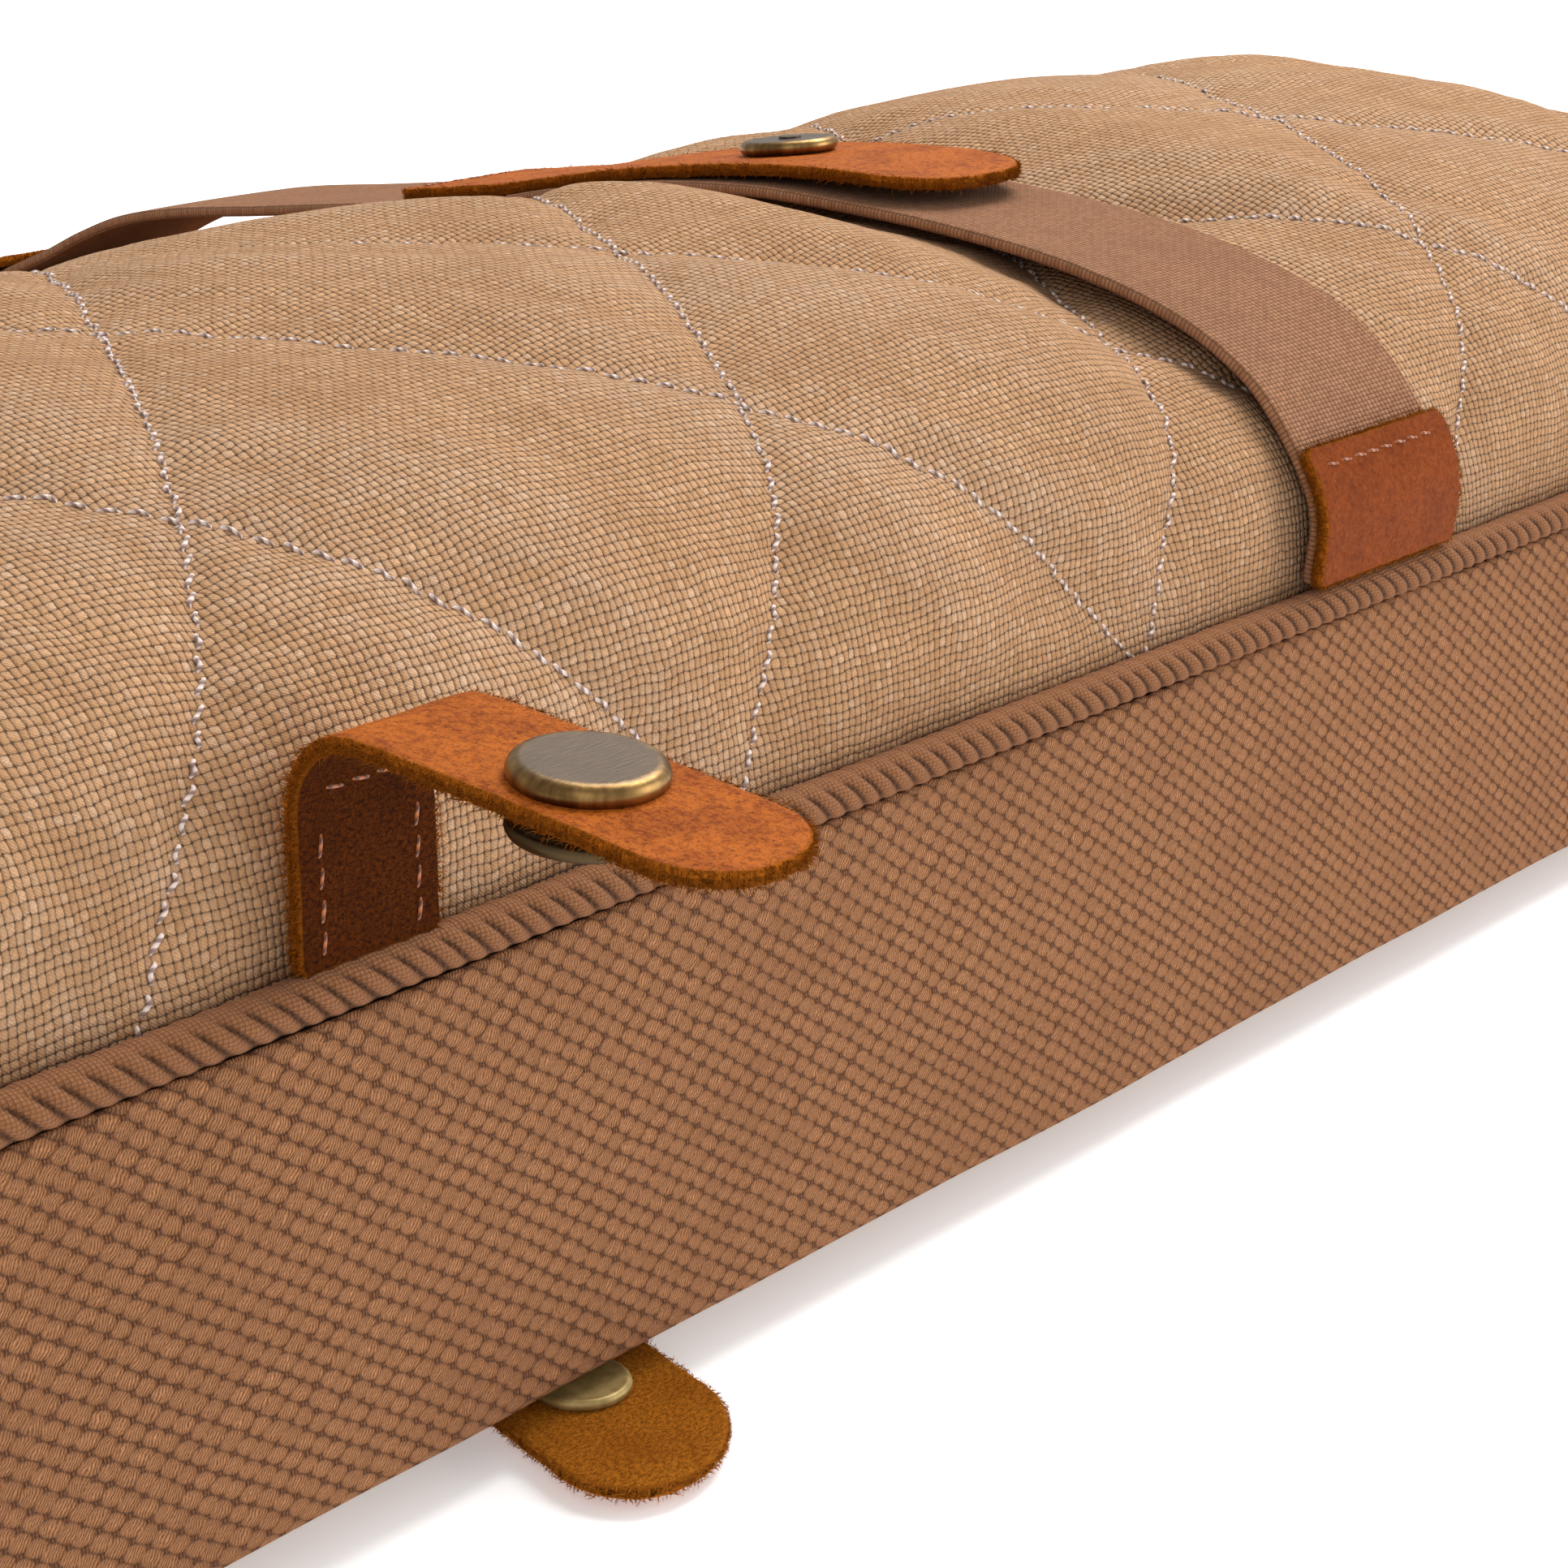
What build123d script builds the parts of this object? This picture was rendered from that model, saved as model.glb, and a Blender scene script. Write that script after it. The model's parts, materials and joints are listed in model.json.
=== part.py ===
from build123d import *
import math
import os

# A padded canvas laptop sleeve lying on its back, front panel up. Millimetres.
# +X runs from the open mouth to the closed bottom end, +Y across the sleeve, +Z up.
# The origin is on the resting plane, under the middle of the sleeve.

# Driving dimensions
LENGTH = 416.0          # mouth to bottom end, over the gusset band
WIDTH = 292.0           # over the lower edges of the gusset band
BACK_RISE = 6.0         # height of the back seam over the resting plane
BAND_HEIGHT = 45.0      # gusset band, seam to seam
BAND_LEAN = 5.0         # how far the band's upper edge stands in from its lower edge
BAND_THICK = 2.2
BAND_CORNER = 34.0      # outside corner radius at the bottom end
CANVAS = 1.5
FOAM = 4.8
LINING = 0.7
PLY_GAP = 0.1           # air between two plies
PIPING_RADIUS = 2.4
SEAM_LIFT = 47.6        # piping centre over the back seam
SEAM_INSET = 6.8        # piping centre in from the band's lower edge
BACK_PIPING_RADIUS = 2.0
BACK_PIPING_INSET = 4.7 # the same for the back piping, tucked under the band
BACK_PIPING_LIFT = 0.5  # its centre over the back seam
DOME_INSET = 9.6        # front canvas edge in from the band's lower edge
DOME_LIFT = 46.6        # front canvas edge over the back seam
ROUNDNESS = 3.4         # superellipse power of the stuffed front
CROWN = 51.0            # rise of the front canvas over its edge, beyond the strap
MIDDLE_CROWN = 49.0     # the same between the mouth and the strap
MOUTH_CROWN = 40.0      # the same at the mouth
STRAP_DIP = 6.5         # how far the strap presses the front in
SIDE_SKEW = 0.7         # how much lower the filling lies towards +Y
END_FALL = 70.0         # length over which the front comes down at the bottom end
FLAT_HALF = 96.0        # half width of the flat of the back panel
BINDING = 1.2           # mouth tape thickness
BINDING_DEPTH = 13.0    # mouth tape width on each face

STRAP_X = 37.0          # strap centre line
STRAP_WIDTH = 31.0
STRAP_THICK = 1.8
STRAP_CLEAR = 1.2       # strap over the canvas
PATCH_RISE = 21.0       # leather end patch, measured up the panel
LEATHER = 1.8
TONGUE_WIDTH = 27.0
TONGUE_TIP_Y = -76.0
TONGUE_HINGE_Y = 19.0
TONGUE_END_Y = 27.0
TONGUE_SNAP_Y = -40.0
TONGUE_SNAP_LIFT = 1.6  # tongue over the strap at the snap, beyond its rest of 0.7
TONGUE_SOCKET = 1.2     # thickness of the tongue's socket

FRONT_TAB_X = -139.4
FRONT_TAB_WIDTH = 17.2
FRONT_TAB_LENGTH = 41.0
FRONT_TAB_SNAP = 19.0   # snap centre from the hinge
FRONT_TAB_OUT = 1.6     # back of the tab's base outside the front canvas edge
FRONT_ELBOW_LIFT = 65.2 # start of the elbow over the back seam
ELBOW_RADIUS = 8.1      # to the middle of the leather
TAB_DROOP = 5.0         # degrees below level
TAB_HINGE_GAP = 1.3     # free tab's end from the elbow of its base
BACK_TAB_X = -117.5
BACK_TAB_WIDTH = 22.0
BACK_TAB_LEATHER = 1.6
BACK_TAB_REACH = 18.0   # flap's tip past the band's lower edge
BACK_TAB_SNAP = 0.2     # snap centre in from the band's lower edge
BACK_FOLD_IN = 28.0     # fold in from the band's lower edge
FLAP_HINGE_OUT = 6.2    # flap hinge outside the band's lower edge, just clear of the snap
FLAP_HINGE_GAP = 1.2    # flap from the end of its base

CAP_RADIUS = 7.0
CAP_HEIGHT = 2.0
DISC_RADIUS = 6.4
BACK_CAP_HEIGHT = 1.4
BACK_STUD_HEIGHT = 1.2
STUD_RADIUS = 4.8
POST_RADIUS = 1.6

# Worked out from them
MOUTH_X = -LENGTH / 2
PLY_X = MOUTH_X + BINDING + PLY_GAP
TAPE_END_X = MOUTH_X + BINDING_DEPTH
END_X = LENGTH / 2
HALF = WIDTH / 2
DOME_HALF = HALF - DOME_INSET
DOME_END = END_X - DOME_INSET
DOME_Z = BACK_RISE + DOME_LIFT
PIPING_Z = BACK_RISE + SEAM_LIFT
BAND_TOP = BACK_RISE + BAND_HEIGHT
SKIN = CANVAS + FOAM + LINING + 2 * PLY_GAP
SIDES = {"near": -1, "far": 1}

parts = {}


def smooth(t):
    """0 to 1 with level ends."""
    t = min(max(t, 0.0), 1.0)
    return t * t * (3 - 2 * t)


def superellipse(t):
    """Height of a stuffed section at t, from 0 in the middle to 1 at the edge."""
    t = min(abs(t), 1.0)
    return (1 - t ** ROUNDNESS) ** (1 / ROUNDNESS)


def crown_at(x, inset=0.0):
    """Rise of the front over its edge along the sleeve, before the bottom end comes down."""
    rise = MOUTH_CROWN + (MIDDLE_CROWN - MOUTH_CROWN) * smooth((x - MOUTH_X) / 90)
    rise += (CROWN - MIDDLE_CROWN) * smooth((x - STRAP_X) / 60)
    rise -= STRAP_DIP * (1 - smooth((abs(x - STRAP_X) - 12) / 32))
    end = DOME_END - inset
    along = (x - (end - END_FALL)) / END_FALL
    return (rise - inset) * superellipse(max(along, 0.0))


def half_width_at(x, half, end, corner):
    """Half width of a plan with round corners at the bottom end."""
    over = max(x - (end - corner), 0.0)
    return half - corner + math.sqrt(max(corner ** 2 - over ** 2, 0.0))


def side_share(t):
    """Share of the crown left at t, from -1 at the near edge to 1 at the far edge."""
    return 1 - SIDE_SKEW * smooth((t + 0.4) / 1.3)


def front_height(x, y, inset=0.0):
    """Height of the front canvas, or of a ply inset under it."""
    half = half_width_at(x, DOME_HALF - inset, DOME_END - inset, BAND_CORNER - DOME_INSET)
    t = y / half
    return DOME_Z + crown_at(x, inset) * side_share(t) * superellipse(t)


def dome_section(x, inset, floor):
    """Closed section of the filled front at x, standing on the height floor."""
    half = half_width_at(x, DOME_HALF - inset, DOME_END - inset, BAND_CORNER - DOME_INSET)
    turns = [math.pi * (1 - i / 20) for i in range(21)]
    spread = [math.copysign(abs(math.cos(a)) ** (2 / ROUNDNESS), math.cos(a)) * half for a in turns]
    spread[0], spread[-1] = -half, half
    top = [(x, y, front_height(x, y, inset)) for y in spread]
    corners = [(x, half, floor), (x, -half, floor)]
    edges = [Spline(*top), Line(top[-1], corners[0]), Line(*corners), Line(corners[1], top[0])]
    return Face(Wire(edges))


def dome(inset, floor, start):
    """Solid under the front canvas, or under a ply inset beneath it."""
    end = DOME_END - inset
    fixed = [MOUTH_X + d for d in (13, 28, 45, 62, 80, 105, 150)]
    fixed += [STRAP_X + d for d in (-58, -44, -34, -24, -12, 12, 24, 34, 44, 60)]
    fixed += [end - d for d in (70, 60, 50, 40, 32, 25, 19, 14, 10, 6.5, 4, 2, 0.7)]
    stations = [start] + [x for x in fixed if x > start + 1]
    return loft([dome_section(x, inset, floor) for x in stations], ruled=True)


def plan(half, end, corner, z, start=MOUTH_X - 30):
    """Flat outline of the sleeve at height z, round at the bottom end, running past the mouth."""
    points = [(start, -half, z), (end, -half, z), (end, half, z), (start, half, z)]
    path = FilletPolyline(*points, radius=corner)
    return Face(Wire(path.edges() + [Line(points[3], points[0])]))


def tray(low, high):
    """Solid between two plans, each given as half width, end, corner radius and height."""
    return loft([plan(*low), plan(*high)])


def slab(x_low, x_high, y_low=-250, y_high=250, z_low=-20, z_high=300):
    """Box that keeps a stretch of the sleeve."""
    size = (x_high - x_low, y_high - y_low, z_high - z_low)
    return Location((x_low, y_low, z_low)) * Box(*size, align=(Align.MIN, Align.MIN, Align.MIN))


def front_ply(outer, thick, lift, start):
    """One ply of the front, from x = start: open underneath and at the mouth."""
    body = dome(outer, DOME_Z + lift, start)
    hollow = dome(outer + thick, DOME_Z + lift - 5, start - 5)
    return body - hollow


def back_plan(drop_in, z):
    """Outline of the back panel drop_in inside its seam."""
    return (HALF - 7.6 - drop_in, END_X - 7.6 - drop_in, BAND_CORNER - 7.6 - drop_in / 2, z)


def flat_plan(z):
    """Outline of the flat of the back panel."""
    return (FLAT_HALF, END_X - HALF + FLAT_HALF, BAND_CORNER / 2, z)


def front_panels():
    parts["front_canvas"] = front_ply(0, CANVAS, -1.5, TAPE_END_X)
    parts["front_padding"] = front_ply(CANVAS + PLY_GAP, FOAM, -1.0, PLY_X)
    parts["front_lining"] = front_ply(CANVAS + FOAM + 2 * PLY_GAP, LINING, -1.5, PLY_X)


def back_ply(low, thick, edge_in, start):
    """One ply of the back, its underside low over the resting plane, from x = start."""
    bed = tray(flat_plan(low), back_plan(edge_in, BACK_RISE + low))
    over = tray(flat_plan(low + thick), back_plan(edge_in, BACK_RISE + low + thick))
    return (bed - over) & slab(start, END_X)


def back_panels():
    parts["back_canvas"] = back_ply(0, CANVAS, 0, TAPE_END_X)
    parts["back_padding"] = back_ply(CANVAS + PLY_GAP, FOAM, 0.3, PLY_X)
    parts["back_lining"] = back_ply(CANVAS + FOAM + 2 * PLY_GAP, LINING, 0.6, PLY_X)


def band_wall(inset, thick, low_z, high_z, start):
    """U-shaped leaning wall along three sides, from x = start."""
    def at(z, extra):
        lean = BAND_LEAN * (z - BACK_RISE) / BAND_HEIGHT
        off = inset + extra + lean
        return (HALF - off, END_X - off, BAND_CORNER - off, z)
    outer = tray(at(low_z, 0), at(high_z, 0))
    inner = tray(at(low_z - 1, thick), at(high_z + 1, thick))
    return (outer - inner) & slab(start, END_X + 5)


def gusset():
    parts["gusset_band"] = band_wall(0, BAND_THICK, BACK_RISE, BAND_TOP, PLY_X)
    low = BACK_RISE + SKIN + 2
    parts["gusset_lining"] = band_wall(BAND_THICK + 2.6, LINING, low, BAND_TOP - 1.5, PLY_X)


def piping(off, z, radius):
    """Corded piping along the U of a seam."""
    half = HALF - off
    end = END_X - off
    points = [(PLY_X, -half, z), (end, -half, z), (end, half, z), (PLY_X, half, z)]
    path = FilletPolyline(*points, radius=BAND_CORNER - off)
    section = Plane(origin=points[0], z_dir=(1, 0, 0)) * Circle(radius)
    return sweep(section, path=path)


def pipings():
    parts["front_piping"] = piping(SEAM_INSET, PIPING_Z, PIPING_RADIUS)
    low = BACK_RISE + BACK_PIPING_LIFT
    parts["back_piping"] = piping(BACK_PIPING_INSET, low, BACK_PIPING_RADIUS)


def yz_profile(points, x, width):
    """Solid with a closed outline in the YZ plane, centred on x."""
    face = Face(Wire(Polyline(*[(x - width / 2, y, z) for y, z in points], close=True)))
    return extrude(face, amount=width, dir=(1, 0, 0))


def strip(line, thick, x, width):
    """Flat strip following a line of (y, z) points, with its thickness above the line."""
    normals = []
    for i in range(len(line)):
        before = line[max(i - 1, 0)]
        after = line[min(i + 1, len(line) - 1)]
        dy = after[0] - before[0]
        dz = after[1] - before[1]
        size = math.hypot(dy, dz)
        normals.append((-dz / size, dy / size))
    top = [(p[0] + n[0] * thick, p[1] + n[1] * thick) for p, n in zip(line, normals)]
    low = Spline(*[(x - width / 2, y, z) for y, z in line])
    high = Spline(*[(x - width / 2, y, z) for y, z in top])
    ends = [Line(low @ 1, high @ 1), Line(high @ 0, low @ 0)]
    face = Face(Wire([low, high] + ends))
    return extrude(face, amount=width, dir=(1, 0, 0))


def strap_height(y):
    """Underside of a strap that lies on the front canvas."""
    edges = [STRAP_X - STRAP_WIDTH / 2, STRAP_X, STRAP_X + STRAP_WIDTH / 2]
    return max(front_height(x, y) for x in edges) + STRAP_CLEAR


def near_strap_line():
    """Underside of the near strap half, from the seam up to its free end under the tongue."""
    edge = -DOME_HALF - 0.9
    rise = [(edge, PIPING_Z + 3.2), (edge - 0.1, DOME_Z + 14)]
    along = [-131, -124, -114, -100, -84, -66, -46, -26, -8, 2]
    return rise + [(y, strap_height(y)) for y in along]


def far_strap_line():
    """Underside of the far strap half, standing off the panel in a low arch."""
    join = strap_height(6)
    edge = DOME_HALF + 0.9
    return [(6, join + 0.3), (20, join - 1.7), (38, join - 4), (58, join - 6.4), (78, join - 8.6),
            (92, join - 11.2), (103, join - 15), (113, join - 19.4), (124, join - 23.8),
            (132, join - 27), (edge - 1, PIPING_Z + 6), (edge, PIPING_Z + 3.2)]


def straps():
    near = near_strap_line()
    parts["strap_near_half"] = strip(near, STRAP_THICK, STRAP_X, STRAP_WIDTH)
    far = far_strap_line()
    parts["strap_far_half"] = strip(far, STRAP_THICK, STRAP_X, STRAP_WIDTH)


def offset_line(line, rise):
    """A strip's line moved outwards by rise."""
    moved = []
    for i in range(len(line)):
        before = line[max(i - 1, 0)]
        after = line[min(i + 1, len(line) - 1)]
        dy = after[0] - before[0]
        dz = after[1] - before[1]
        size = math.hypot(dy, dz)
        moved.append((line[i][0] - dz / size * rise, line[i][1] + dy / size * rise))
    return moved


def strap_patches():
    near = offset_line(near_strap_line(), STRAP_THICK + 0.1)
    low = slab(-300, 300, z_high=DOME_Z + PATCH_RISE)
    parts["near_strap_patch"] = strip(near, LEATHER, STRAP_X, STRAP_WIDTH + 1.5) & low
    far = offset_line(far_strap_line(), STRAP_THICK + 0.1)
    outer = slab(-300, 300, y_low=DOME_HALF + 4 - PATCH_RISE)
    parts["far_strap_patch"] = strip(far, LEATHER, STRAP_X, STRAP_WIDTH + 1.5) & outer


def snap_cap(radius, height):
    """Flat cap with a rounded rim, standing on z = 0."""
    body = Cylinder(radius, height, align=(Align.CENTER, Align.CENTER, Align.MIN))
    return fillet(body.edges().group_by(Axis.Z)[-1], height * 0.45)


def snap_disc(radius, height, well):
    """Socket disc with a shallow well in its face, standing on z = 0."""
    body = snap_cap(radius, height)
    cut = Cylinder(well, height * 0.4, align=(Align.CENTER, Align.CENTER, Align.MAX))
    return body - Location((0, 0, height)) * cut


def round_end_strip(x, width, y_start, y_tip, z, thick):
    """Level strip with a round end at y_tip."""
    way = math.copysign(1, y_tip - y_start)
    radius = width / 2
    straight = abs(y_tip - y_start) - radius
    body = Box(width, straight, thick, align=(Align.CENTER, Align.MIN, Align.MIN))
    if way < 0:
        body = Location((0, -straight, 0)) * body
    end = Location((0, way * straight, 0)) * Cylinder(
        radius, thick, align=(Align.CENTER, Align.CENTER, Align.MIN))
    return Location((x, y_start, z)) * (body + end)


def tilted(shape, y, z, angle):
    """Turned about an axis along X through y, z."""
    return Location((0, y, z)) * Rotation(angle, 0, 0) * Location((0, -y, -z)) * shape


def snap_set(x, y, z, leather, cap, disc, cap_on_top):
    """Cap, post and disc of one snap through a level leather strip whose underside is at z."""
    flip = Rotation(180, 0, 0)
    above = Location((x, y, z + leather))
    below = Location((x, y, z))
    post = below * Cylinder(POST_RADIUS, leather, align=(Align.CENTER, Align.CENTER, Align.MIN))
    if cap_on_top:
        return above * cap, post, below * flip * disc
    return below * flip * cap, post, above * disc


def elbow(y, z, radius):
    """Points of a quarter turn from upright at the left of (y, z) to level above it."""
    turns = [math.radians(15 * i) for i in range(7)]
    return [(y - radius * math.cos(a), z + radius * math.sin(a)) for a in turns]


def front_tab(side):
    """Front snap tab: base sewn up the panel and turned outwards, with a free tab beyond."""
    way = SIDES[side]
    name = side + "_front_tab"
    inner = DOME_HALF + FRONT_TAB_OUT
    foot = PIPING_Z + 3.0
    turn_y = inner + LEATHER / 2 + ELBOW_RADIUS
    turn_z = BACK_RISE + FRONT_ELBOW_LIFT
    back = elbow(turn_y, turn_z, ELBOW_RADIUS + LEATHER / 2)
    front = elbow(turn_y, turn_z, ELBOW_RADIUS - LEATHER / 2)
    base = [(inner, foot)] + back + front[::-1] + [(inner + LEATHER, foot)]
    ring = [(way * y, z) for y, z in base]
    parts[name + "_base"] = yz_profile(ring, FRONT_TAB_X, FRONT_TAB_WIDTH)
    hinge_y = way * (turn_y + TAB_HINGE_GAP)
    hinge_z = turn_z + ELBOW_RADIUS
    low = hinge_z - LEATHER / 2
    tip_y = hinge_y + way * FRONT_TAB_LENGTH
    level = round_end_strip(FRONT_TAB_X, FRONT_TAB_WIDTH, hinge_y, tip_y, low, LEATHER)
    cap = snap_cap(CAP_RADIUS, CAP_HEIGHT)
    disc = snap_disc(DISC_RADIUS, 1.6, DISC_RADIUS * 0.55)
    snap_y = hinge_y + way * FRONT_TAB_SNAP
    cap, post, disc = snap_set(FRONT_TAB_X, snap_y, low, LEATHER, cap, disc, True)
    pieces = {"_leather": level - post, "_cap": cap, "_post": post, "_socket": disc}
    for ending, shape in pieces.items():
        parts[name + ending] = tilted(shape, hinge_y, hinge_z, -way * TAB_DROOP)


def back_slope(y):
    """Height of the back canvas's outside at y."""
    out = max(abs(y) - FLAT_HALF, 0.0)
    return out / (HALF - 7.6 - FLAT_HALF) * BACK_RISE


def back_tab(side):
    """Back snap tab: sewn under the panel, folded back on itself and out to its snap, with a free end."""
    way = SIDES[side]
    name = side + "_back_tab"
    thick = BACK_TAB_LEATHER
    low = BACK_CAP_HEIGHT
    high = low + thick
    fold = HALF - BACK_FOLD_IN
    seam = HALF - 9.0
    level = HALF - 6.0
    hinge = HALF + FLAP_HINGE_OUT
    end = hinge - FLAP_HINGE_GAP
    upper = [(fold, back_slope(fold) - 0.15), (seam, back_slope(seam) - 0.15)]
    lower = [(seam, upper[1][1] - thick), (fold + 3, back_slope(fold + 3) - 0.15 - thick)]
    out = [(fold + 3, 1.62), (level, high), (end, high)]
    back = [(end, low), (level, low), (fold - 1.6, 0.05), (fold - 1.6, back_slope(fold - 1.6) - 0.3)]
    ring = [(way * y, z) for y, z in upper + lower + out + back]
    base = yz_profile(ring, BACK_TAB_X, BACK_TAB_WIDTH)
    tip = way * (HALF + BACK_TAB_REACH)
    free = slab(-300, 300, *sorted((way * hinge, way * 200)))
    flap = round_end_strip(BACK_TAB_X, BACK_TAB_WIDTH, way * level, tip, low, thick) & free
    snap_y = way * (HALF - BACK_TAB_SNAP)
    cap = snap_cap(STUD_RADIUS, BACK_CAP_HEIGHT)
    stud = snap_disc(STUD_RADIUS, BACK_STUD_HEIGHT, STUD_RADIUS * 0.55)
    cap, post, stud = snap_set(BACK_TAB_X, snap_y, low, thick, cap, stud, False)
    parts[name + "_base"] = base - post
    parts[name + "_leather"] = flap
    parts[name + "_cap"] = cap
    parts[name + "_post"] = post
    parts[name + "_stud"] = stud


def tongue_height(y):
    """Underside of the tongue: over the snap in the middle, close to the strap at both ends."""
    lift = TONGUE_SNAP_LIFT * smooth((y - TONGUE_TIP_Y) / 30) + 0.7
    on_near = strap_height(y) + STRAP_THICK + lift
    on_far = far_strap_line()[0][1] + STRAP_THICK + 0.5
    return on_near if y < -20 else max(on_near, on_far)


def tongue():
    """Leather tongue over the join of the strap, with its snap."""
    along = [TONGUE_TIP_Y, -64, -52, TONGUE_SNAP_Y, -28, -12, 4, TONGUE_HINGE_Y]
    line = [(y, tongue_height(y)) for y in along]
    whole = strip(line, LEATHER, STRAP_X, TONGUE_WIDTH)
    outline = round_end_strip(STRAP_X, TONGUE_WIDTH, TONGUE_HINGE_Y, TONGUE_TIP_Y, 0, 250)
    y = TONGUE_SNAP_Y
    angle = math.degrees(math.atan((tongue_height(y + 2) - tongue_height(y - 2)) / 4))
    under = tongue_height(y)
    cap = snap_cap(CAP_RADIUS, CAP_HEIGHT)
    disc = snap_disc(DISC_RADIUS, TONGUE_SOCKET, DISC_RADIUS * 0.55)
    cap, post, disc = snap_set(STRAP_X, y, under, LEATHER, cap, disc, True)
    hole = Location((STRAP_X, y, under - 2)) * Cylinder(
        POST_RADIUS, 8, align=(Align.CENTER, Align.CENTER, Align.MIN))
    pieces = {"tongue_cap": cap, "tongue_post": post, "tongue_socket": disc}
    for name, shape in pieces.items():
        parts[name] = tilted(shape, y, under, angle)
    parts["tongue_leather"] = (whole & outline) - tilted(hole, y, under, angle)
    stud_z = strap_height(y) + STRAP_THICK + 0.12
    stud = Location((STRAP_X, y, stud_z)) * snap_cap(STUD_RADIUS - 0.4, 0.7)
    parts["strap_stud"] = tilted(stud, y, stud_z, angle)


def tongue_seat():
    """The tongue's sewn end, fixed on the far strap half."""
    line = offset_line(far_strap_line()[:3], STRAP_THICK + 0.1)
    pad = strip(line, LEATHER, STRAP_X, TONGUE_WIDTH)
    kept = slab(-300, 300, TONGUE_HINGE_Y + 0.5, TONGUE_END_Y)
    parts["tongue_sewn_end"] = pad & kept


def back_strip(low, thick, long):
    """Strip that follows the back panel's section, reaching long into the sleeve from the mouth."""
    edge = HALF - 8.6
    under = [(-edge, BACK_RISE), (-FLAT_HALF, 0), (FLAT_HALF, 0), (edge, BACK_RISE)]
    ring = [(y, z + low) for y, z in under] + [(y, z + low + thick) for y, z in reversed(under)]
    return yz_profile(ring, MOUTH_X + long / 2, long)


def mouth_bindings():
    """Folded tapes round the raw edges of the mouth."""
    zone = slab(MOUTH_X, TAPE_END_X - PLY_GAP)
    face = slab(MOUTH_X, MOUTH_X + BINDING)
    inner = SKIN + PLY_GAP
    start = MOUTH_X
    outer_leg = front_ply(0, BINDING, -1.5, start) & zone
    inner_leg = front_ply(inner, BINDING, -1.5, start) & zone
    front = outer_leg + inner_leg + (front_ply(0, inner + BINDING, -1.5, start) & face)
    parts["front_mouth_binding"] = front
    long = TAPE_END_X - PLY_GAP - MOUTH_X
    outer_leg = back_strip(0, BINDING, long)
    inner_leg = back_strip(inner, BINDING, long)
    parts["back_mouth_binding"] = outer_leg + inner_leg + back_strip(0, inner + BINDING, BINDING)
    low = BACK_RISE + SKIN + 2
    high = BAND_TOP - 2
    depth = BAND_THICK + 2.6 + LINING + PLY_GAP
    outer_leg = band_wall(-BINDING - PLY_GAP, BINDING, low, high, start) & zone
    inner_leg = band_wall(depth, BINDING, low, high, start) & zone
    wrap = band_wall(-BINDING - PLY_GAP, depth + 2 * BINDING + PLY_GAP, low, high, start) & face
    parts["gusset_mouth_tapes"] = outer_leg + inner_leg + wrap


front_panels()
back_panels()
gusset()
pipings()
straps()
strap_patches()
tongue()
tongue_seat()
mouth_bindings()
for side_name in SIDES:
    front_tab(side_name)
    back_tab(side_name)

os.makedirs("parts", exist_ok=True)
for node, shape in parts.items():
    export_step(shape, "parts/" + node + ".step")
    print(node, round(shape.volume), [round(v, 1) for v in shape.bounding_box().size])
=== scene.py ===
import json
import math

import bmesh
import bpy
import numpy as np
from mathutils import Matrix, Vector


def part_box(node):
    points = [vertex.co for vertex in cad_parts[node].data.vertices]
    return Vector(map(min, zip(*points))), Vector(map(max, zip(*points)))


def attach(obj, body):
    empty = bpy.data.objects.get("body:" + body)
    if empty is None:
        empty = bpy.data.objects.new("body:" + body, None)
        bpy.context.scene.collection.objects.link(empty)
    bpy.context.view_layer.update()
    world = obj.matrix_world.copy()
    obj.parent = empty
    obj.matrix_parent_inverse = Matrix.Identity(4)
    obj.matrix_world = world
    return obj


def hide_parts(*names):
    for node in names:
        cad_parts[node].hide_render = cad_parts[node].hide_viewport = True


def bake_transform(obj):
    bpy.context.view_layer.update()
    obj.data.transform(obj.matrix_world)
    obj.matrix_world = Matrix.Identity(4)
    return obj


# A padded canvas laptop sleeve lying on its back, front panel up.
# Lengths in this script are millimetres in the CAD frame; meshes are made in metres.

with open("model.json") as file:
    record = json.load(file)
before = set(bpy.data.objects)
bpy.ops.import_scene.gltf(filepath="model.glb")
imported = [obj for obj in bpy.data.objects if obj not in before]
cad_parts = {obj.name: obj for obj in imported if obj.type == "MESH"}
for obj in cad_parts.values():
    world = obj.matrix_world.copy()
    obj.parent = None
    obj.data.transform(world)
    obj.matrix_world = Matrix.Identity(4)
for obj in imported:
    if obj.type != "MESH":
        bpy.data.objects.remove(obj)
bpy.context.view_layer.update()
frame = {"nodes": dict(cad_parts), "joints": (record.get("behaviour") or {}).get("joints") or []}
MM = 0.001
RNG = np.random.default_rng(11)


def node_box(node):
    """Lowest and highest corner of a CAD node, in millimetres."""
    low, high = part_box(node)
    return np.array(low) / MM, np.array(high) / MM


BAND_LOW, BAND_HIGH = node_box("gusset_band")
MOUTH_X = node_box("front_mouth_binding")[0][0]
END_X = BAND_HIGH[0]
HALF = BAND_HIGH[1]
BACK_RISE = BAND_LOW[2]
BAND_TOP = BAND_HIGH[2]
BAND_HEIGHT = BAND_TOP - BACK_RISE
BAND_LEAN = 5.0
BAND_CORNER = 34.0
TAPE_DEPTH = 13.0

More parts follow.
